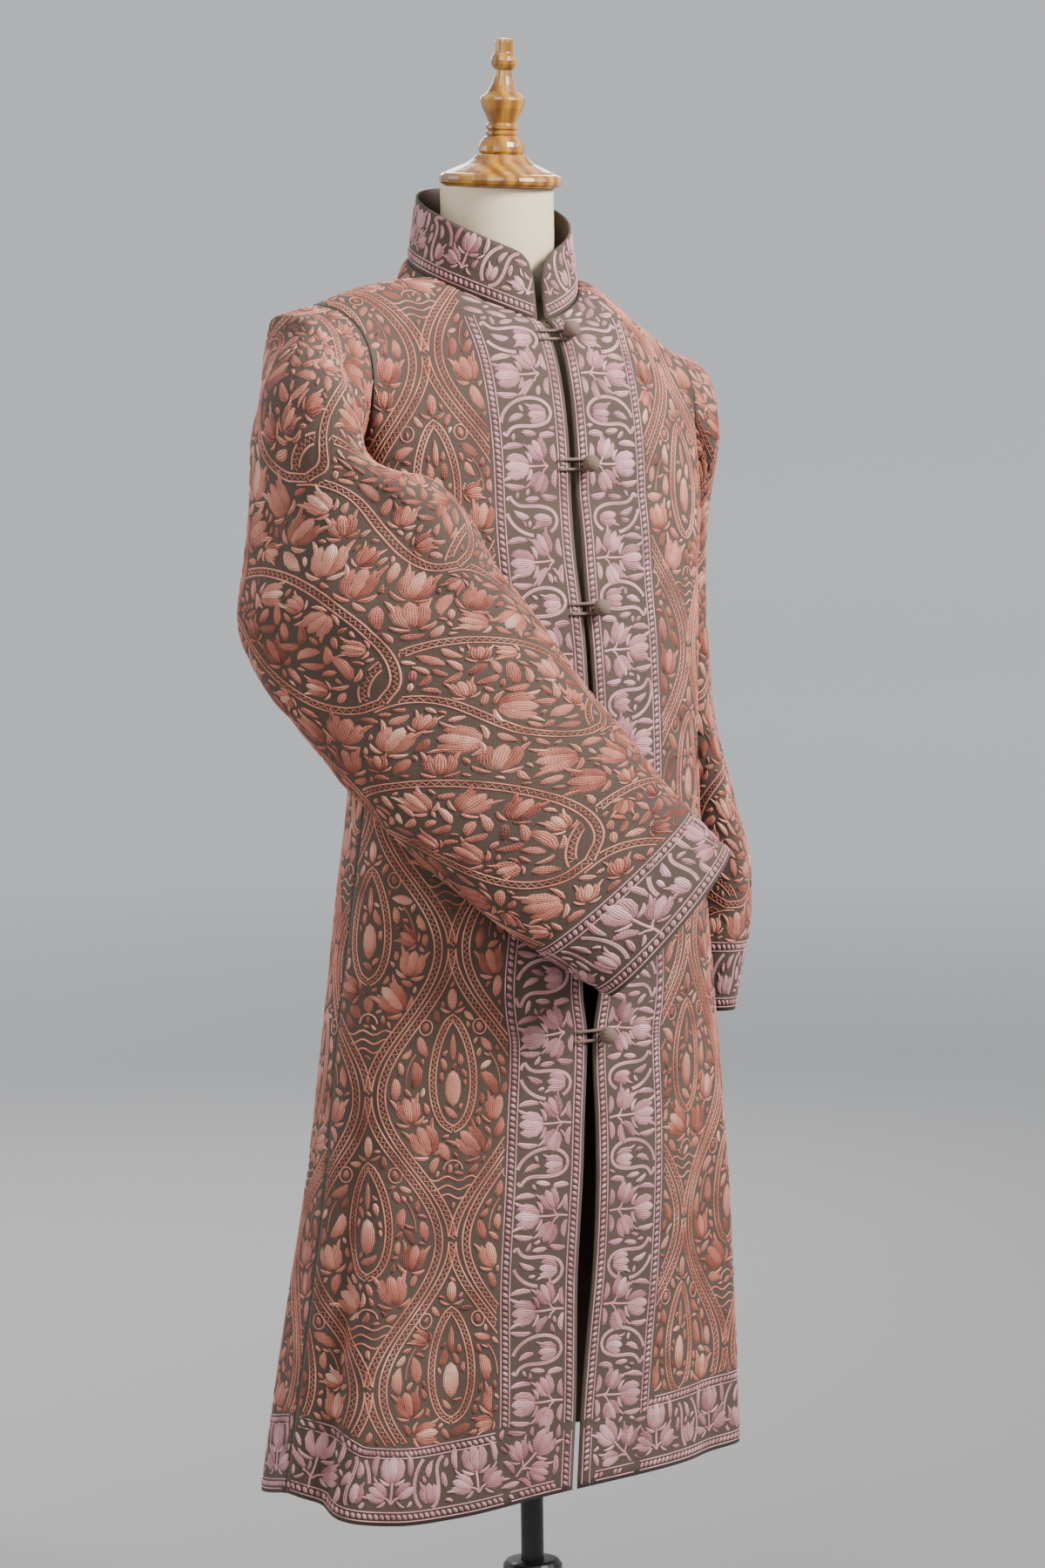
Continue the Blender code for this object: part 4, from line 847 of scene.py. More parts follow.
def leaf_points(leaves, share, side):
    """Flat points of leaves at shares of their length, side -1 to 1 across: leaves x points x 2."""
    base = leaves[:, None, X:Y + 1]
    run = leaves[:, None, TIP_X:TIP_Y + 1] - base
    square = np.stack([-run[..., 1], run[..., 0]], axis=-1)
    share = share[None, :, None]
    bend = leaves[:, None, BEND, None]
    middle = base + run * share + square * bend * 4 * share * (1 - share)
    along = run + square * bend * 4 * (1 - 2 * share)
    out = np.stack([-along[..., 1], along[..., 0]], axis=-1)
    out = out / np.maximum(np.linalg.norm(out, axis=-1, keepdims=True), 1e-6)
    wide = np.zeros((len(leaves), share.shape[1]))
    for kind, (skew, blunt) in enumerate(PROFILES):
        bow = np.maximum(np.sin(np.pi * share[0, :, 0] ** skew), 0) ** blunt
        wide += (leaves[:, KIND] == kind)[:, None] * bow[None]
    return middle + out * (wide * leaves[:, WIDTH, None] / 2 * side[None])[..., None]


def patch(length, width):
    """Shares and sides that cover a leaf of this size about once a chart square."""
    share = np.linspace(0.04, 0.96, max(3, int(length / 1.5)))
    side = np.linspace(-1.05, 1.05, max(3, int(width / 1.3)))
    return np.repeat(share, len(side)), np.tile(side, len(share))


class Motif:
    """Leaves and lines in millimetres, with +Y as the way that it grows."""

    def __init__(self):
        self.leaves = []
        self.lines = []

    def leaf(self, x, y, tip_x, tip_y, width, bend=0.0, kind=POINTED, tone=0.5, lift=0.9):
        self.leaves.append((x, y, tip_x, tip_y, width, bend, lift, kind, tone, 0))

    def both(self, x, y, tip_x, tip_y, width, bend=0.0, kind=POINTED, tone=0.5, lift=0.9):
        self.leaf(x, y, tip_x, tip_y, width, bend, kind, tone, lift)
        self.leaf(-x, y, -tip_x, tip_y, width, -bend, kind, tone, lift)

    def line(self, points, width=1.8, tone=0.5, lift=0.75):
        self.lines.append((np.array(points, float), width, lift, tone))

    def join(self, other, x=0.0, y=0.0, turn_deg=0.0, scale=1.0, flip=1):
        leaves, lines = other.placed(x, y, turn_deg, scale, flip)
        leaves[:, GROUP] += 1 + max([row[GROUP] for row in self.leaves], default=0)
        self.leaves += [tuple(row) for row in leaves]
        self.lines += lines
        return self

    def placed(self, x, y, turn_deg=0.0, scale=1.0, flip=1):
        turn = math.radians(turn_deg)
        grid = scale * np.array([[math.cos(turn), math.sin(turn)], [-math.sin(turn), math.cos(turn)]])
        grid[0] *= flip
        leaves = np.array(self.leaves, float).reshape(-1, 10)
        leaves[:, X:Y + 1] = leaves[:, X:Y + 1] @ grid + (x, y)
        leaves[:, TIP_X:TIP_Y + 1] = leaves[:, TIP_X:TIP_Y + 1] @ grid + (x, y)
        leaves[:, WIDTH] *= scale
        leaves[:, BEND] *= flip
        lines = [(points @ grid + (x, y), width, lift, tone) for points, width, lift, tone in self.lines]
        return leaves, lines


def even(points, step):
    """A line read again at even steps."""
    points = np.asarray(points, float)
    run = np.concatenate([[0], np.cumsum(np.linalg.norm(np.diff(points, axis=0), axis=1))])
    at = np.linspace(0, run[-1], max(2, int(round(run[-1] / step)) + 1))
    return np.stack([np.interp(at, run, points[:, k]) for k in (0, 1)], axis=1)


def beside(points, distance):
    """The line moved sideways; distance is a number or one for each point."""
    along = np.gradient(points, axis=0)
    out = np.stack([-along[:, 1], along[:, 0]], axis=1)
    out /= np.maximum(np.linalg.norm(out, axis=1, keepdims=True), 1e-6)
    return points + out * np.reshape(distance, (-1, 1))


def edging(motif, points, half=3.0, wave=5.0, tone=0.5):
    """Two parallel lines with a zigzag thread between them."""
    smooth = even(points, 5.0)
    for side in (-half, half):
        motif.line(beside(smooth, side), 2.0, tone + 0.1)
    close = even(points, wave / 2)
    zigzag = np.where(np.arange(len(close)) % 2, half - 1.5, 1.5 - half)
    motif.line(beside(close, zigzag), 1.5, tone + 0.02, 0.7)

# %% [markdown]
# The flowers are the stock of the region's shawl workers: tulips in side view, opened lotus fans, ferns,
# ringed buds, hanging drops and the curled mango shape. None of them is copied leaf by leaf from one coat.

# %% The stock of motifs
def tulip(size, tone=0.5):
    """A bell of broad petals with two free tips, on two small leaves."""
    made = Motif()
    s = size
    made.both(0.04 * s, 0.00 * s, 0.24 * s, 0.86 * s, 0.36 * s, -0.15, OVAL, tone - 0.10, 0.8)
    made.leaf(0, 0.01 * s, 0, 0.92 * s, 0.42 * s, 0, OVAL, tone + 0.14, 1.1)
    made.both(0.34 * s, 0.52 * s, 0.52 * s, 1.00 * s, 0.14 * s, 0.10, POINTED, tone + 0.08, 0.8)
    made.both(0.06 * s, -0.06 * s, 0.50 * s, 0.16 * s, 0.15 * s, -0.14, POINTED, tone + 0.08, 0.8)
    return made


def lotus(size, petals=7, tone=0.5):
    """A fan of petals round a half disc of seeds."""
    made = Motif()
    for number in range(petals):
        turn = math.radians(-78 + 156 * number / (petals - 1))
        x, y = math.sin(turn), math.cos(turn)
        reach = size * (1.0 if number % 2 == 0 else 0.90)
        shade = tone + (0.12 if number % 2 == 0 else -0.08)
        made.leaf(0.30 * size * x, 0.30 * size * y, reach * x, reach * y, 0.40 * size, 0, BLUNT, shade,
                  1.0 if number % 2 == 0 else 0.8)
    arc = [math.radians(a) for a in range(-90, 91, 15)]
    made.line([(0.31 * size * math.sin(a), 0.31 * size * math.cos(a)) for a in arc], 1.8, tone + 0.2)
    made.both(0.03 * size, 0.02 * size, 0.17 * size, 0.20 * size, 0.11 * size, 0, OVAL, tone)
    made.leaf(0, 0.0, 0, 0.25 * size, 0.10 * size, 0, OVAL, tone - 0.2)
    return made


def fern(size, pairs=4, bend=0.12, tone=0.5):
    """A bent stem with pairs of leaves that shrink towards the tip."""
    made = Motif()
    share = np.linspace(0, 0.86, 9)
    stem = np.stack([4 * bend * size * share * (1 - share), size * share], axis=1)
    made.line(stem, 1.5, tone - 0.12)
    for pair in range(pairs):
        at = 0.12 + 0.66 * pair / max(1, pairs - 1)
        x, y = 4 * bend * size * at * (1 - at), size * at
        long = size * (0.33 - 0.16 * at)
        for side in (-1, 1):
            made.leaf(x + side * 0.8, y, x + side * long * 0.80, y + long * 0.72, 0.36 * long, -side * 0.10,
                      POINTED, tone + 0.08 * side)
    x, y = stem[-1]
    made.leaf(x, y, x - 0.2 * bend * size, size * 1.04, 0.13 * size, 0, POINTED, tone + 0.1)
    return made


def bud(size, tone=0.5):
    """A ringed bud on two sepals."""
    made = Motif()
    ring = [math.radians(a) for a in range(0, 361, 24)]
    outline = [(0.30 * size * math.sin(a), 0.50 * size + 0.36 * size * math.cos(a)) for a in ring]
    made.line(outline, 1.6, tone + 0.16)
    made.leaf(0, 0.28 * size, 0, 0.74 * size, 0.30 * size, 0, OVAL, tone - 0.12)
    made.both(0.04 * size, 0.02 * size, 0.44 * size, 0.40 * size, 0.17 * size, -0.16, POINTED, tone)
    return made


def drop(height, width, tone=0.5):
    """A hanging drop with an edging and a tulip inside."""
    made = Motif()
    share = np.linspace(0, 1, 33)
    half = width / 2 * 1.92 * share ** 0.55 * (1 - share) ** 0.75
    right = np.stack([half, height * share], axis=1)
    outline = np.concatenate([right, (right * (-1, 1))[::-1]])
    edging(made, outline, 2.8, 4.6, tone)
    made.join(tulip(0.36 * height, tone + 0.05), 0, 0.20 * height)
    made.leaf(0, 0.60 * height, 0, 0.86 * height, 0.13 * width, 0, POINTED, tone)
    return made


def mango(length, width, curl_deg, tone=0.5):
    """The curled mango shape: round at the foot, its tip bent over."""
    made = Motif()
    share = np.linspace(0, 1, 41)
    heading = np.radians(curl_deg) * share ** 2.4
    step = length / 40 * np.stack([np.sin(heading), np.cos(heading)], axis=1)
    axis = np.cumsum(step, axis=0) - step[0]
    half = width / 2 * 2.49 * share ** 0.5 * (1 - share) ** 0.9
    outline = np.concatenate([beside(axis, half), beside(axis, -half)[::-1]])
    edging(made, outline, 3.0, 5.0, tone)
    made.join(tulip(0.34 * width, tone + 0.05), 0, 0.14 * length)
    for at in (10, 15, 20, 25, 29):
        x, y = axis[at]
        long = 0.36 * half[at] + 2.5
        turn = heading[at]
        for side in (-1, 1):
            tip = (x + side * long * math.cos(turn) * 0.8 + long * 0.7 * math.sin(turn),
                   y - side * long * math.sin(turn) * 0.8 + long * 0.7 * math.cos(turn))
            made.leaf(x, y, tip[0], tip[1], 0.42 * long, -side * 0.12, POINTED, tone + 0.07 * side)
    return made


def ogee(tone=0.5):
    """One tall compartment of the fields, with all that grows inside it."""
    made = Motif()
    share = np.linspace(0, 1, 41)
    right = np.stack([OGEE_WIDTH / 2 * np.sin(np.pi * share) ** 2, OGEE_HEIGHT * (share - 0.5)], axis=1)
    edging(made, right, 3.2, 5.2, tone)
    edging(made, right * (-1, 1), 3.2, 5.2, tone)
    made.join(drop(100, 46, tone + 0.03), 0, -30)
    made.join(lotus(27, 7, tone), 0, -66)
    for level, reach in ((-74, 21), (-82, 17), (-90, 12)):
        x = np.linspace(-reach, reach, 11)
        made.line(np.stack([x, level + 2.2 * np.sin(x / 3.4)], axis=1), 2.3, tone + 0.05)
    for side in (-1, 1):
        made.join(tulip(26, tone), side * 37, -24, side * -14, 1.0, side)
        made.join(fern(34, 4, 0.10, tone + 0.05), side * 42, 10, side * 22, 1.0, side)
        made.join(bud(19, tone), side * 26, 52, side * 14, 1.0, side)
    made.join(tulip(22, tone), 0, 76)
    return made


OGEE_WIDTH = 126.0
OGEE_HEIGHT = 262.0
OGEE_COLUMN = 75.0
print("Marks in one ogee:", len(ogee().leaves), "leaves,", len(ogee().lines), "lines")

# %% [markdown]
# ## Set out the work on each piece
# A border is drawn along an edge: distance along the edge one way, distance in from it the other. Marks are
# only kept where most of their ground is still free, and each one then takes it, so hardly a stitch lies over
# another. Printing the chart and drawing every flower by hand would be slower and no truer to the craft, in
# which flowers and leaves are chosen to fill what the last ones left.

# %% An edge of the flat cloth
EDGE_STEP = 4.0


class Edge:
    """An edge of the flat piece: along it in millimetres, and so far in from it."""

    def __init__(self, line, inside):
        self.line = even(np.asarray(line) * 1000, EDGE_STEP)
        self.length = EDGE_STEP * (len(self.line) - 1)
        along = np.gradient(self.line, axis=0)
        out = np.stack([-along[:, 1], along[:, 0]], axis=1)
        kernel = np.ones(9) / 9
        padded = np.pad(out, ((4, 4), (0, 0)), "edge")
        out = np.stack([np.convolve(padded[:, k], kernel, "valid") for k in (0, 1)], axis=1)
        out /= np.linalg.norm(out, axis=1, keepdims=True)
        middle = len(out) // 2
        towards = np.asarray(inside) * 1000 - self.line[middle]
        self.handed = np.sign(out[middle] @ towards)
        self.inward = out * self.handed

    def at(self, along, into):
        """Flat points so far along the edge and so far in; past its ends it goes on straight."""
        along = np.asarray(along, float) / EDGE_STEP
        steps = np.arange(len(self.line))
        out = []
        for axis in (0, 1):
            foot = np.interp(along, steps, self.line[:, axis])
            normal = np.interp(along, steps, self.inward[:, axis])
            over = np.where(along < 0, along, np.where(along > steps[-1], along - steps[-1], 0))
            slope = self.line[1, axis] - self.line[0, axis]
            out.append(foot + normal * into + over * slope)
        return np.stack(out, axis=-1)

    def distance(self, points):
        """How far flat points in millimetres are from the edge."""
        best = np.full(points.shape[:-1], 1e9)
        for foot in self.line[::2]:
            best = np.minimum(best, ((points - foot) ** 2).sum(axis=-1))
        return np.sqrt(best)


# %% Keeping marks where the ground is free
def keep(cloth, group, leaves, lines, allowed, tolerance):
    """Keep the marks that find free ground, and take it; petals of one flower may share theirs."""
    before = cloth.free & allowed
    for points, width, lift, tone in lines:
        open_here = before[cloth.cells(points / 1000)]
        middle = even(points, 1.4)
        for aside in (0, -width / 2 - 0.3, width / 2 + 0.3):
            cloth.free[cloth.cells(beside(middle, aside) / 1000)] = False
        start = None
        for index in range(len(points) + 1):
            if index < len(points) and open_here[index]:
                start = index if start is None else start
            elif start is not None:
                if index - start >= 2:
                    cloth.lines.setdefault(group, []).append((points[start:index], width, lift, tone))
                start = None
    for flower in np.unique(leaves[:, GROUP]):
        before = cloth.free & allowed
        for leaf in leaves[leaves[:, GROUP] == flower]:
            length = math.hypot(leaf[TIP_X] - leaf[X], leaf[TIP_Y] - leaf[Y])
            cells = cloth.cells(leaf_points(leaf[None], *patch(length, leaf[WIDTH]))[0] / 1000)
            if before[cells].mean() >= 1 - tolerance:
                cloth.free[cells] = False
                cloth.leaves.setdefault(group, []).append(leaf)


def scatter(cloth, group, allowed, flowers, seed):
    """Throw whole flowers at the free ground; one is kept where all of it fits."""
    dice = np.random.default_rng(seed)
    for flower, throws, upright in flowers:
        drawn = np.array(flower.leaves, float)
        cover = []
        for leaf in drawn:
            length = math.hypot(leaf[TIP_X] - leaf[X], leaf[TIP_Y] - leaf[Y])
            cover.append(leaf_points(leaf[None], *patch(length, leaf[WIDTH] + 1.0))[0])
        cover = np.concatenate(cover)
        rows, columns = np.nonzero(cloth.free & allowed)
        if len(rows) == 0:
            return
        pick = dice.integers(0, len(rows), throws)
        foot = (np.stack([columns[pick], rows[pick]], axis=1) * cloth.step + cloth.low) * 1000
        turn = dice.normal(0, upright, throws)
        cosine, sine = np.cos(turn)[:, None], np.sin(turn)[:, None]
        spread = np.stack([cover[None, :, 0] * cosine - cover[None, :, 1] * sine,
                           cover[None, :, 0] * sine + cover[None, :, 1] * cosine], axis=-1) + foot[:, None]
        cells = cloth.cells(spread / 1000)
        fits = (cloth.free[cells] & allowed[cells]).mean(axis=1) > 0.93
        for number in np.nonzero(fits)[0]:
            own = (cells[0][number], cells[1][number])
            if cloth.free[own].mean() > 0.93:
                leaves, _ = flower.placed(*foot[number], math.degrees(turn[number]))
                leaves[:, TONE] += dice.uniform(-0.14, 0.14)
                cloth.free[own] = False
                cloth.leaves.setdefault(group, []).extend(leaves)


def fill(cloth, group, allowed, sizes, seed):
    """Throw leaves of falling size at the free ground until few more fit."""
    dice = np.random.default_rng(seed)
    for length, width, throws in sizes:
        share, side = patch(length + 1.0, width + 1.2)
        for _ in range(3):
            rows, columns = np.nonzero(cloth.free & allowed)
            if len(rows) == 0:
                return
            pick = dice.integers(0, len(rows), throws)
            middle = (np.stack([columns[pick], rows[pick]], axis=1) * cloth.step + cloth.low) * 1000
            turn = dice.normal(0, 0.9, throws)
            run = np.stack([np.sin(turn), np.cos(turn)], axis=1) * length / 2
            leaves = np.zeros((throws, 10))
            leaves[:, X:Y + 1] = middle - run
            leaves[:, TIP_X:TIP_Y + 1] = middle + run
            leaves[:, WIDTH] = width + 1.2
            leaves[:, BEND] = dice.uniform(-0.16, 0.16, throws)
            leaves[:, LIFT] = 0.85
            leaves[:, KIND] = dice.integers(0, 3, throws)
            leaves[:, TONE] = dice.uniform(0.25, 0.75, throws)
            cells = cloth.cells(leaf_points(leaves, share, side) / 1000)
            fits = (cloth.free[cells] & allowed[cells]).mean(axis=1) > 0.97
            for number in np.nonzero(fits)[0]:
                own = (cells[0][number], cells[1][number])
                if cloth.free[own].mean() > 0.97:
                    cloth.free[own] = False
                    leaf = leaves[number].copy()
                    leaf[WIDTH] = width
                    cloth.leaves.setdefault(group, []).append(leaf)


# %% Ropes and border units
BEAD_MM = 5.4


def rope(edge, into, start, end, tone=0.5):
    """A rope of slanted beads between two thin lines, along an edge."""
    made = Motif()
    count = max(2, int((end - start) / 6))
    stops = np.linspace(start, end, count)
    for side in (-4.2, 4.2):
        made.line(edge.at(stops, into + side), 1.5, tone + 0.12)
    beads = int((end - start) / BEAD_MM)
    for number in range(beads):
        at = start + (number + 0.5) * BEAD_MM
        foot = edge.at([at - 1.9], into - 2.3)[0]
        tip = edge.at([at + 1.9], into + 2.3)[0]
        made.leaf(foot[0], foot[1], tip[0], tip[1], 3.9, 0, OVAL, tone, 1.0)
    return made


def along_edge(edge, motif, along, into, scale=1.0, turned_over=1):
    """A border motif set on an edge: its +Y grows in from the edge, its X runs along it."""
    leaves, lines = motif.placed(0, 0, 0, scale, turned_over)
    for low in (X, TIP_X):
        moved = edge.at(along + leaves[:, low], into + leaves[:, low + 1])
        leaves[:, low:low + 2] = moved
    leaves[:, BEND] *= edge.handed
    lines = [(edge.at(along + p[:, 0], into + p[:, 1]), w, lift, tone) for p, w, lift, tone in lines]
    return leaves, lines


def tulip_spray(tone=0.5):
    """The first border unit: a big tulip with a smaller one on each side."""
    made = Motif()
    made.line([(0, -27), (0.8, -18), (0, -8), (0, 2)], 2.8, tone)
    made.join(tulip(27, tone + 0.05), 0, 1)
    for side in (-1, 1):
        made.line([(0, -18), (side * 3, -14), (side * 7, -12)], 2.4, tone)
        made.join(tulip(22, tone - 0.03), side * 6, -13, side * -62, 1.0)
        made.leaf(side * 3, -27, side * 20, -25, 6.2, side * 0.14, OVAL, tone)
        made.leaf(side * 18, 6, side * 16, 27, 6.0, side * -0.10, OVAL, tone + 0.05)
    return made


def mango_unit(tone=0.5):
    """The second border unit: a curled mango round a flower, with a leaf on each side of its tip."""
    made = Motif()
    share = np.linspace(0, 1, 41)
    heading = np.radians(-8 + 112 * share ** 2.6)
    step = 60 / 40 * np.stack([np.sin(heading), np.cos(heading)], axis=1)
    axis = np.cumsum(step, axis=0) - step[0] + (-5, -25)
    half = 14.5 * 2.2 * share ** 0.5 * (1 - share) ** 0.9
    outline = np.concatenate([beside(axis, half), beside(axis, -half)[::-1]])
    made.line(even(outline, 3.0), 3.8, tone + 0.08)
    made.join(tulip(21, tone), -5.5, -20, -4)
    made.leaf(-4, 3, 2, 19, 6.4, 0.12, POINTED, tone + 0.05)
    made.leaf(-19, 6, -16, 28, 6.4, -0.12, OVAL, tone)
    made.leaf(14, -27, 16, -10, 6.4, 0.10, OVAL, tone)
    made.leaf(13, -8, 11, 7, 5.6, 0.0, OVAL, tone + 0.08)
    return made


# %% What the borders and fields are filled with
BORDER_UNITS = (tulip_spray(), mango_unit())
UNIT_MM = 42.0
BORDER_FILL = [(20, 6.4, 900), (14, 5.4, 1200), (10, 4.6, 1500), (7, 3.8, 1500)]
FIELD_FLOWERS = [(tulip(30), 2500, 0.9), (tulip(24), 3500, 1.0), (tulip(18), 4500, 1.4)]
FIELD_FILL = [(25, 11.0, 3000), (20, 9.0, 4500), (16, 7.4, 6000), (12, 5.8, 9000), (9, 4.4, 12000),
              (6.5, 3.4, 12000)]


# Shares of a mark that may lie on ground that isn't free any more.
ROPE_OVERLAP = 0.65
CORNER_OVERLAP = 0.3
UNIT_OVERLAP = 0.25
FIELD_OVERLAP = 0.1
# How far the ropes' middle lines are from the cloth's edge and from the field.
EDGE_ROPE = 8
FIELD_ROPE = 6


def border(cloth, edge, width, allowed, start, end, scale=1.0, inner_rope=True, outer_rope=True, into=None):
    """One border: its ropes, then its units in turn along it."""
    if inner_rope:
        keep(cloth, "border", *rope(edge, width - FIELD_ROPE, start, end).placed(0, 0), allowed, ROPE_OVERLAP)
    if outer_rope:
        keep(cloth, "border", *rope(edge, EDGE_ROPE, start, end).placed(0, 0), allowed, ROPE_OVERLAP)
    into = (width + 4) / 2 if into is None else into
    count = max(1, round((end - start) / (UNIT_MM * scale)))
    step = (end - start) / count
    for number in range(count):
        unit = BORDER_UNITS[number % 2]
        over = -1 if number % 4 == 1 else 1
        leaves, lines = along_edge(edge, unit, start + (number + 0.5) * step, into, scale, over)
        keep(cloth, "border", leaves, lines, allowed, UNIT_OVERLAP)


def chart_points(cloth):
    """The flat place of each chart square, in millimetres."""
    rows, columns = cloth.free.shape
    xs = (cloth.low[0] + np.arange(columns) * cloth.step) * 1000
    ys = (cloth.low[1] + np.arange(rows) * cloth.step) * 1000
    return np.stack(np.meshgrid(xs, ys), axis=-1)

# %% [markdown]
# The order is the same everywhere: the borders with their ropes, then the tall compartments of the body's
# fields or the curled shapes of the sleeves, then whole flowers, and last the leaves that fill what is left.
# The lattice of compartments drops by half a step from column to column.

# %% Embroider the six pieces
CENTRE_BORDER = 79.0
HEM_BORDER = 71.0
CUFF_BORDER = 68.0
MANGO_COLUMN = 104.0
MANGO_ROW = 206.0
for number, (name, cloth) in enumerate(cloths.items()):
    squares = chart_points(cloth)
    hem = Edge(cloth.flat[0], cloth.flat[len(cloth.flat) // 2, cloth.flat.shape[1] // 2])
    below = hem.distance(squares)
    if name.startswith("front"):
        centre = Edge(cloth.flat[:, 0], cloth.flat[len(cloth.flat) // 2, -1])
        beside_edge = centre.distance(squares)
        band = (beside_edge < CENTRE_BORDER) | (below < HEM_BORDER)
        upright, level = beside_edge < CENTRE_BORDER, below < HEM_BORDER
        over_hem, over_centre = HEM_BORDER - EDGE_ROPE, CENTRE_BORDER - EDGE_ROPE
        border(cloth, centre, CENTRE_BORDER, upright, over_hem, centre.length)
        border(cloth, hem, HEM_BORDER, level, over_centre, hem.length)
        corner = (beside_edge < CENTRE_BORDER - FIELD_ROPE) & (below < HEM_BORDER - FIELD_ROPE)
        keep(cloth, "border", *rope(centre, EDGE_ROPE, 4, over_hem).placed(0, 0), corner, CORNER_OVERLAP)
        keep(cloth, "border", *rope(hem, EDGE_ROPE, 12, over_centre).placed(0, 0), corner, CORNER_OVERLAP)
        keep(cloth, "border", *tulip_spray().placed(40, 38, 45), corner, UNIT_OVERLAP)
    elif name == "collar":
        band = np.ones_like(cloth.free)
        border(cloth, hem, 60.0, band, 0.0, hem.length, 0.78, False, True, 33.0)
    else:
        width = HEM_BORDER if name == "back" else CUFF_BORDER
        band = below < width
        border(cloth, hem, width, band, 0.0, hem.length)
    fill(cloth, "border", band & cloth.room, BORDER_FILL, 20 + number)
    if name != "collar":
        field = ~band
        low, high = squares.reshape(-1, 2).min(axis=0), squares.reshape(-1, 2).max(axis=0)
        if name.startswith("sleeve"):
            unit = mango(186, 84, -120, 0.5)
            for column in range(-3, 4):
                for row in range(-1, 5):
                    up = MANGO_ROW * (row + 0.5 * (column % 2))
                    keep(cloth, "field", *unit.placed(MANGO_COLUMN * column, up, 14), field, FIELD_OVERLAP)
        else:
            offset = 45.0 if name.startswith("front") else 0.0
            first, last = math.floor(low[0] / OGEE_COLUMN) - 1, math.ceil(high[0] / OGEE_COLUMN) + 1
            for column in range(first, last + 1):
                for row in range(6):
                    unit = ogee(0.5 + 0.06 * math.sin(2.1 * column + 1.3 * row))
                    across = offset + OGEE_COLUMN * column
                    up = OGEE_HEIGHT * (row - 0.1 + 0.5 * (column % 2))
                    keep(cloth, "field", *unit.placed(across, up), field, FIELD_OVERLAP)
        scatter(cloth, "field", field & cloth.room, FIELD_FLOWERS, 60 + number)
        fill(cloth, "field", field & cloth.room, FIELD_FILL, 40 + number)
    leaves, lines = (sum(len(marks) for marks in kept.values()) for kept in (cloth.leaves, cloth.lines))
    bare = (cloth.free & cloth.room).sum() / cloth.room.sum()
    print(name, leaves, "leaves and", lines, "lines, bare ground", round(float(bare), 2))

# %% [markdown]
# ## From marks to relief
# Filled petals stand nearly a millimetre above the wool. Bump alone would leave the coat's outline bare, and
# a real chain of loops would need millions of faces, so the marks are raised and only their links are bump.
# A leaf becomes a low cushion: four sections of four points, sunk at the edges and flat on top, closed by a
# point at each end. A line becomes a cord of three points across. Every point is read from the chart, so the
# relief bends with the cloth, and it carries its place in the stitching for the material to use.

# %% The relief's points and faces
CLOTH_MM = 1.8
SUNK_MM = -0.15
LEAF_SHARES = np.repeat([0.12, 0.38, 0.66, 0.88], 4)
LEAF_SIDES = np.tile([-1.0, -0.60, 0.60, 1.0], 4)
LEAF_HEIGHTS = np.tile([0.0, 1.0, 1.0, 0.0], 4)


def leaf_relief(leaves):
    """Flat points, heights, stitch counts and faces of leaves."""
    share = np.concatenate([LEAF_SHARES, [0.0, 1.0]])
    side = np.concatenate([LEAF_SIDES, [0.0, 0.0]])
    rise = np.concatenate([LEAF_HEIGHTS, [0.2, 0.2]])
    points = leaf_points(leaves, share, side)
    height = SUNK_MM + rise[None] * (leaves[:, LIFT, None] - SUNK_MM)
    length = np.hypot(leaves[:, TIP_X] - leaves[:, X], leaves[:, TIP_Y] - leaves[:, Y])
    rows = np.maximum(1, np.rint(leaves[:, WIDTH] / ROW_MM))
    tone = leaves[:, TONE] + np.random.default_rng(5).uniform(-0.13, 0.13, len(leaves))
    stitch = np.stack([length[:, None] * share[None] / LINK_MM,
                       side[None] * rows[:, None] / 2 + np.where(rows % 2, 0.0, 0.5)[:, None],
                       tone[:, None] + 0.16 * (share[None] - 0.5),
                       np.broadcast_to(1 - rise, points.shape[:2])], axis=-1)
    quads = [(4 * r + c, 4 * r + c + 1, 4 * r + c + 5, 4 * r + c + 4) for r in range(3) for c in range(3)]
    ends = [(c + 1, c, 16, 16) for c in range(3)] + [(12 + c, 13 + c, 17, 17) for c in range(3)]
    return points, height, stitch, quads, ends


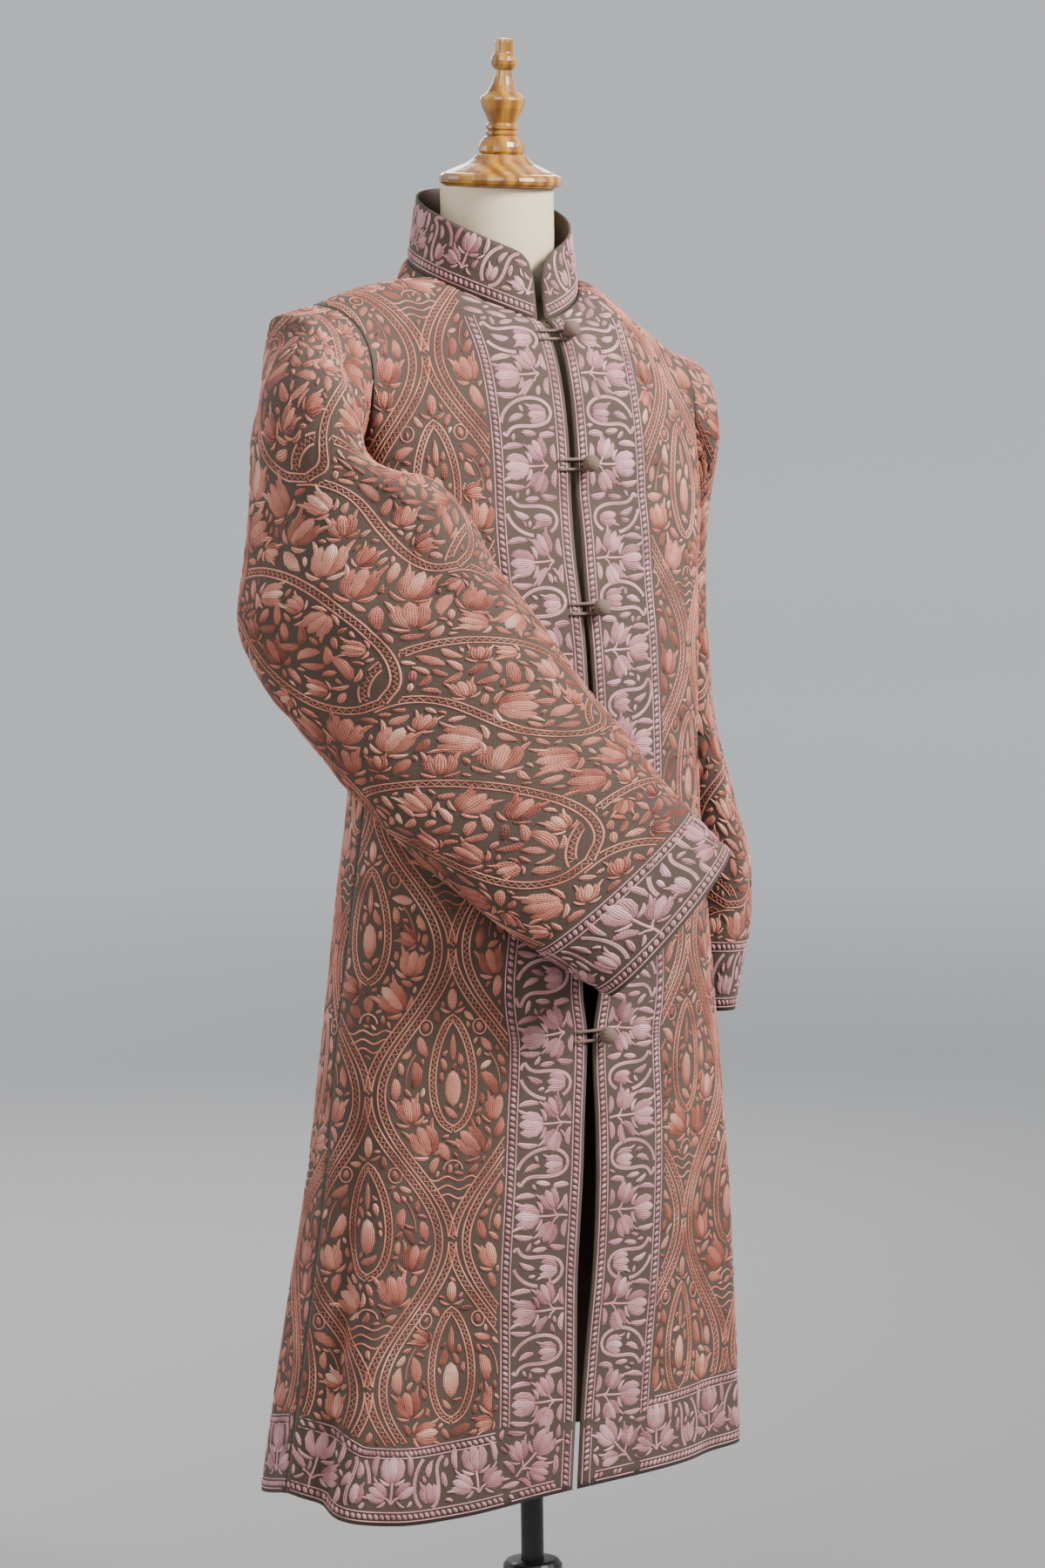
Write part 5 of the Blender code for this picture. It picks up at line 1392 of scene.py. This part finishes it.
def relief_mesh(cloth, group):
    """One mesh of all leaves and lines of a group on a piece."""
    points, heights, stitches, faces = [], [], [], []
    total = 0
    leaves = np.array(cloth.leaves.get(group, [])).reshape(-1, 10)
    if len(leaves):
        p, h, s, quads, ends = leaf_relief(leaves)
        count = p.shape[1]
        starts = (np.arange(len(leaves)) * count)[:, None, None]
        faces += (np.array(quads)[None] + starts).reshape(-1, 4).tolist()
        faces += (np.array(ends)[None, :, :3] + starts).reshape(-1, 3).tolist()
        points.append(p.reshape(-1, 2))
        heights.append(h.reshape(-1))
        stitches.append(s.reshape(-1, 4))
        total = len(leaves) * count
    for line, width, lift, tone in cloth.lines.get(group, []):
        count = len(line)
        run = np.concatenate([[0], np.cumsum(np.linalg.norm(np.diff(line, axis=0), axis=1))])
        for side in (-1, 0, 1):
            points.append(beside(line, side * width / 2))
            heights.append(np.full(count, SUNK_MM if side else lift))
            rows = max(1, round(width / ROW_MM))
            row = side * rows / 2 + (0.0 if rows % 2 else 0.5)
            stitches.append(np.stack([run / LINK_MM, np.full(count, row), np.full(count, tone),
                                      np.full(count, 0.8 * abs(side))], axis=1))
        low = np.arange(count - 1)
        for strip in (0, 1):
            a = total + strip * count + low
            faces += np.stack([a, a + 1, a + count + 1, a + count], axis=1).tolist()
        total += 3 * count
    points = np.concatenate(points) / 1000
    heights = np.concatenate(heights) / 1000
    facing = cloth.read(cloth.facing, points)
    facing /= np.maximum(np.linalg.norm(facing, axis=1, keepdims=True), 1e-9)
    place = cloth.read(cloth.place, points) + facing * heights[:, None]
    if cloth.outward < 0:
        faces = [face[::-1] for face in faces]
    return place, faces, np.concatenate(stitches)


# %% Objects from the meshes
def mesh_object(name, points, faces, material):
    """A named object from points and faces."""
    data = bpy.data.meshes.new(name)
    data.from_pydata(np.asarray(points).tolist(), [], faces)
    data.update()
    data.materials.append(material)
    data.polygons.foreach_set("use_smooth", [True] * len(data.polygons))
    made = bpy.data.objects.new(name, data)
    bpy.context.scene.collection.objects.link(made)
    return made


def relief(cloth, group, material):
    """The stitched relief of one group as an object with its stitch counts."""
    place, faces, stitches = relief_mesh(cloth, group)
    made = mesh_object(cloth.name + "_" + group + "_stitch", place, faces, material)
    counted = made.data.attributes.new("stitch", "FLOAT_VECTOR", "POINT")
    counted.data.foreach_set("vector", stitches[:, :3].astype(np.float32).ravel())
    rim = made.data.attributes.new("rim", "FLOAT", "POINT")
    rim.data.foreach_set("value", stitches[:, 3].astype(np.float32))
    return made


def shell(cloth):
    """The cloth itself: the grid as a thin sheet, thickened inwards."""
    rows, columns = cloth.grid.shape[:2]
    closed = cloth.name.startswith("sleeve")
    used = columns - 1 if closed else columns
    points = cloth.grid[:, :used].reshape(-1, 3)
    faces = []
    for row in range(rows - 1):
        for column in range(columns - 1):
            after = (column + 1) % used
            here, above = row * used, (row + 1) * used
            face = [here + column, here + after, above + after, above + column]
            faces.append(face if cloth.outward > 0 else face[::-1])
    made = mesh_object(cloth.name + "_cloth", points, faces, taupe_wool)
    bpy.ops.object.select_all(action="DESELECT")
    made.select_set(True)
    bpy.context.view_layer.objects.active = made
    thicken = made.modifiers.new("thickness", "SOLIDIFY")
    thicken.thickness = CLOTH_MM / 1000
    thicken.offset = -1.0
    bpy.ops.object.modifier_apply(modifier=thicken.name)
    return made


# %% Build the shells and their stitching
STITCHING = (("field", field_thread, "embroidered_cloth"), ("border", border_thread, "border_cloth"))
for name, cloth in cloths.items():
    sheet = shell(cloth)
    for group, material, slot in STITCHING:
        if group in cloth.leaves:
            piece = relief(cloth, group, material)
            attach(piece, "form")
            print(piece.name, "triangles:", sum(len(p.vertices) - 2 for p in piece.data.polygons))
    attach(sheet, "form")
    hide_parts(name)
    corners = cloth.flat.reshape(-1, 2)
    width, length = corners.max(axis=0) - corners.min(axis=0)

# %% [markdown]
# ## The dress form
# The form is turned up from one circle: extrude, lift and resize, section after section, exactly as a
# sculptor pulls a shape up from a ring. Only its neck and a little of its chest ever show.

# %% Linen torso, pulled up from a circle
FORM_SECTIONS = [
    # z, middle_y, half_width, half_depth
    (0.812, 0.004, 0.150, 0.090), (0.840, 0.004, 0.157, 0.094), (0.870, 0.004, 0.160, 0.096),
    (0.910, 0.004, 0.156, 0.093), (0.955, 0.004, 0.148, 0.088), (0.990, 0.005, 0.139, 0.082),
    (1.020, 0.006, 0.134, 0.078), (1.055, 0.007, 0.137, 0.079), (1.090, 0.008, 0.144, 0.082),
    (1.125, 0.008, 0.151, 0.083), (1.160, 0.008, 0.156, 0.084), (1.220, 0.010, 0.160, 0.080),
    (1.280, 0.018, 0.162, 0.071), (1.312, 0.024, 0.161, 0.053), (1.338, 0.028, 0.156, 0.042),
    (1.354, 0.028, 0.130, 0.036), (1.370, 0.028, 0.098, 0.032), (1.382, 0.029, 0.072, 0.030),
    (1.396, 0.030, 0.055, 0.047), (1.412, 0.030, 0.052, 0.050), (1.450, 0.030, 0.0515, 0.0515),
    (1.486, 0.030, 0.0515, 0.0515),
]
NECK_LEAN = math.radians(4.5)
NECK_TOP = (0.0, 0.024, 1.486)


def pulled_up(name, sections, sides, material):
    """A closed form from sections (z, middle_y, half_width, half_depth), made by edit-mode extrusions."""
    z, middle_y, wide, deep = sections[0]
    bpy.ops.object.select_all(action="DESELECT")
    bpy.ops.mesh.primitive_circle_add(vertices=sides, radius=1.0, fill_type="NGON", location=(0, 0, 0))
    made = bpy.context.active_object
    made.name = name
    bpy.ops.object.mode_set(mode="EDIT")
    bpy.ops.mesh.select_all(action="SELECT")
    bpy.ops.transform.resize(value=(wide, deep, 1.0), center_override=(0, 0, 0))
    bpy.ops.transform.translate(value=(0, middle_y, z))
    for next_z, next_y, next_wide, next_deep in sections[1:]:
        bpy.ops.mesh.extrude_region_move(TRANSFORM_OT_translate={"value": (0, next_y - middle_y, next_z - z)})
        grow = (next_wide / wide, next_deep / deep, 1.0)
        bpy.ops.transform.resize(value=grow, center_override=(0, next_y, next_z))
        z, middle_y, wide, deep = next_z, next_y, next_wide, next_deep
    bpy.ops.transform.rotate(value=-NECK_LEAN, orient_axis="X", center_override=NECK_TOP)
    bpy.ops.mesh.select_all(action="SELECT")
    bpy.ops.mesh.normals_make_consistent(inside=False)
    bpy.ops.object.mode_set(mode="OBJECT")
    bpy.ops.object.shade_smooth_by_angle(angle=math.radians(50))
    made.data.materials.clear()
    made.data.materials.append(material)
    return made


linen_form = pulled_up("linen_torso", FORM_SECTIONS, 72, cream_linen)
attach(linen_form, "form")
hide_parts("form_torso")
top = max(vertex.co.z for vertex in linen_form.data.vertices)
print("Linen torso:", len(linen_form.data.polygons), "faces, top at", round(top, 4))

# %% [markdown]
# ## Floor and backdrop
# A round room with a soft foot where floor meets wall looks the same from every side, so a view from any side
# has the same plain ground as the photograph. The lamps reach the floor's middle far better than the wall,
# so the paper is drawn paler with distance, which evens the picture's ground out.

# %% A round cove
COVE = [
    # height, radius
    (0.0, 9.0), (0.10, 9.9), (0.45, 10.6), (1.2, 11.0), (6.0, 11.0),
]
backdrop_paper, paper_shader = new_material("pale grey backdrop paper", 0.95)
paper_coords = add_node(backdrop_paper, "ShaderNodeTexCoord")
paper_reach = add_node(backdrop_paper, "ShaderNodeVectorMath",
                       {"operation": "LENGTH", 0: (paper_coords, "Object")})
paper_share = add_node(backdrop_paper, MATH, {"operation": "DIVIDE", 0: (paper_reach, "Value"), 1: 10.0})
paper_tone = add_node(backdrop_paper, "ShaderNodeValToRGB",
                      {"colours": [(0.05, "#8E8C89"), (0.80, "#FDFDFD")], "Fac": paper_share})
finish_with(backdrop_paper, paper_shader, (paper_tone, "Color"))
bpy.ops.object.select_all(action="DESELECT")
bpy.ops.mesh.primitive_circle_add(vertices=96, radius=COVE[0][1], fill_type="NGON", location=(0, 0, 0))
cove = bpy.context.active_object
cove.name = "cove"
bpy.ops.object.mode_set(mode="EDIT")
bpy.ops.mesh.select_all(action="SELECT")
bpy.ops.mesh.select_mode(type="EDGE")
bpy.ops.mesh.region_to_loop()
for (low, near), (high, far) in zip(COVE, COVE[1:]):
    bpy.ops.mesh.extrude_edges_move(TRANSFORM_OT_translate={"value": (0, 0, high - low)})
    bpy.ops.transform.resize(value=(far / near, far / near, 1.0), center_override=(0, 0, high))
bpy.ops.mesh.select_all(action="SELECT")
bpy.ops.mesh.normals_make_consistent(inside=True)
bpy.ops.object.mode_set(mode="OBJECT")
bpy.ops.object.shade_smooth_by_angle(angle=math.radians(60))
cove.data.materials.append(backdrop_paper)
print("Cove:", len(cove.data.polygons), "faces")
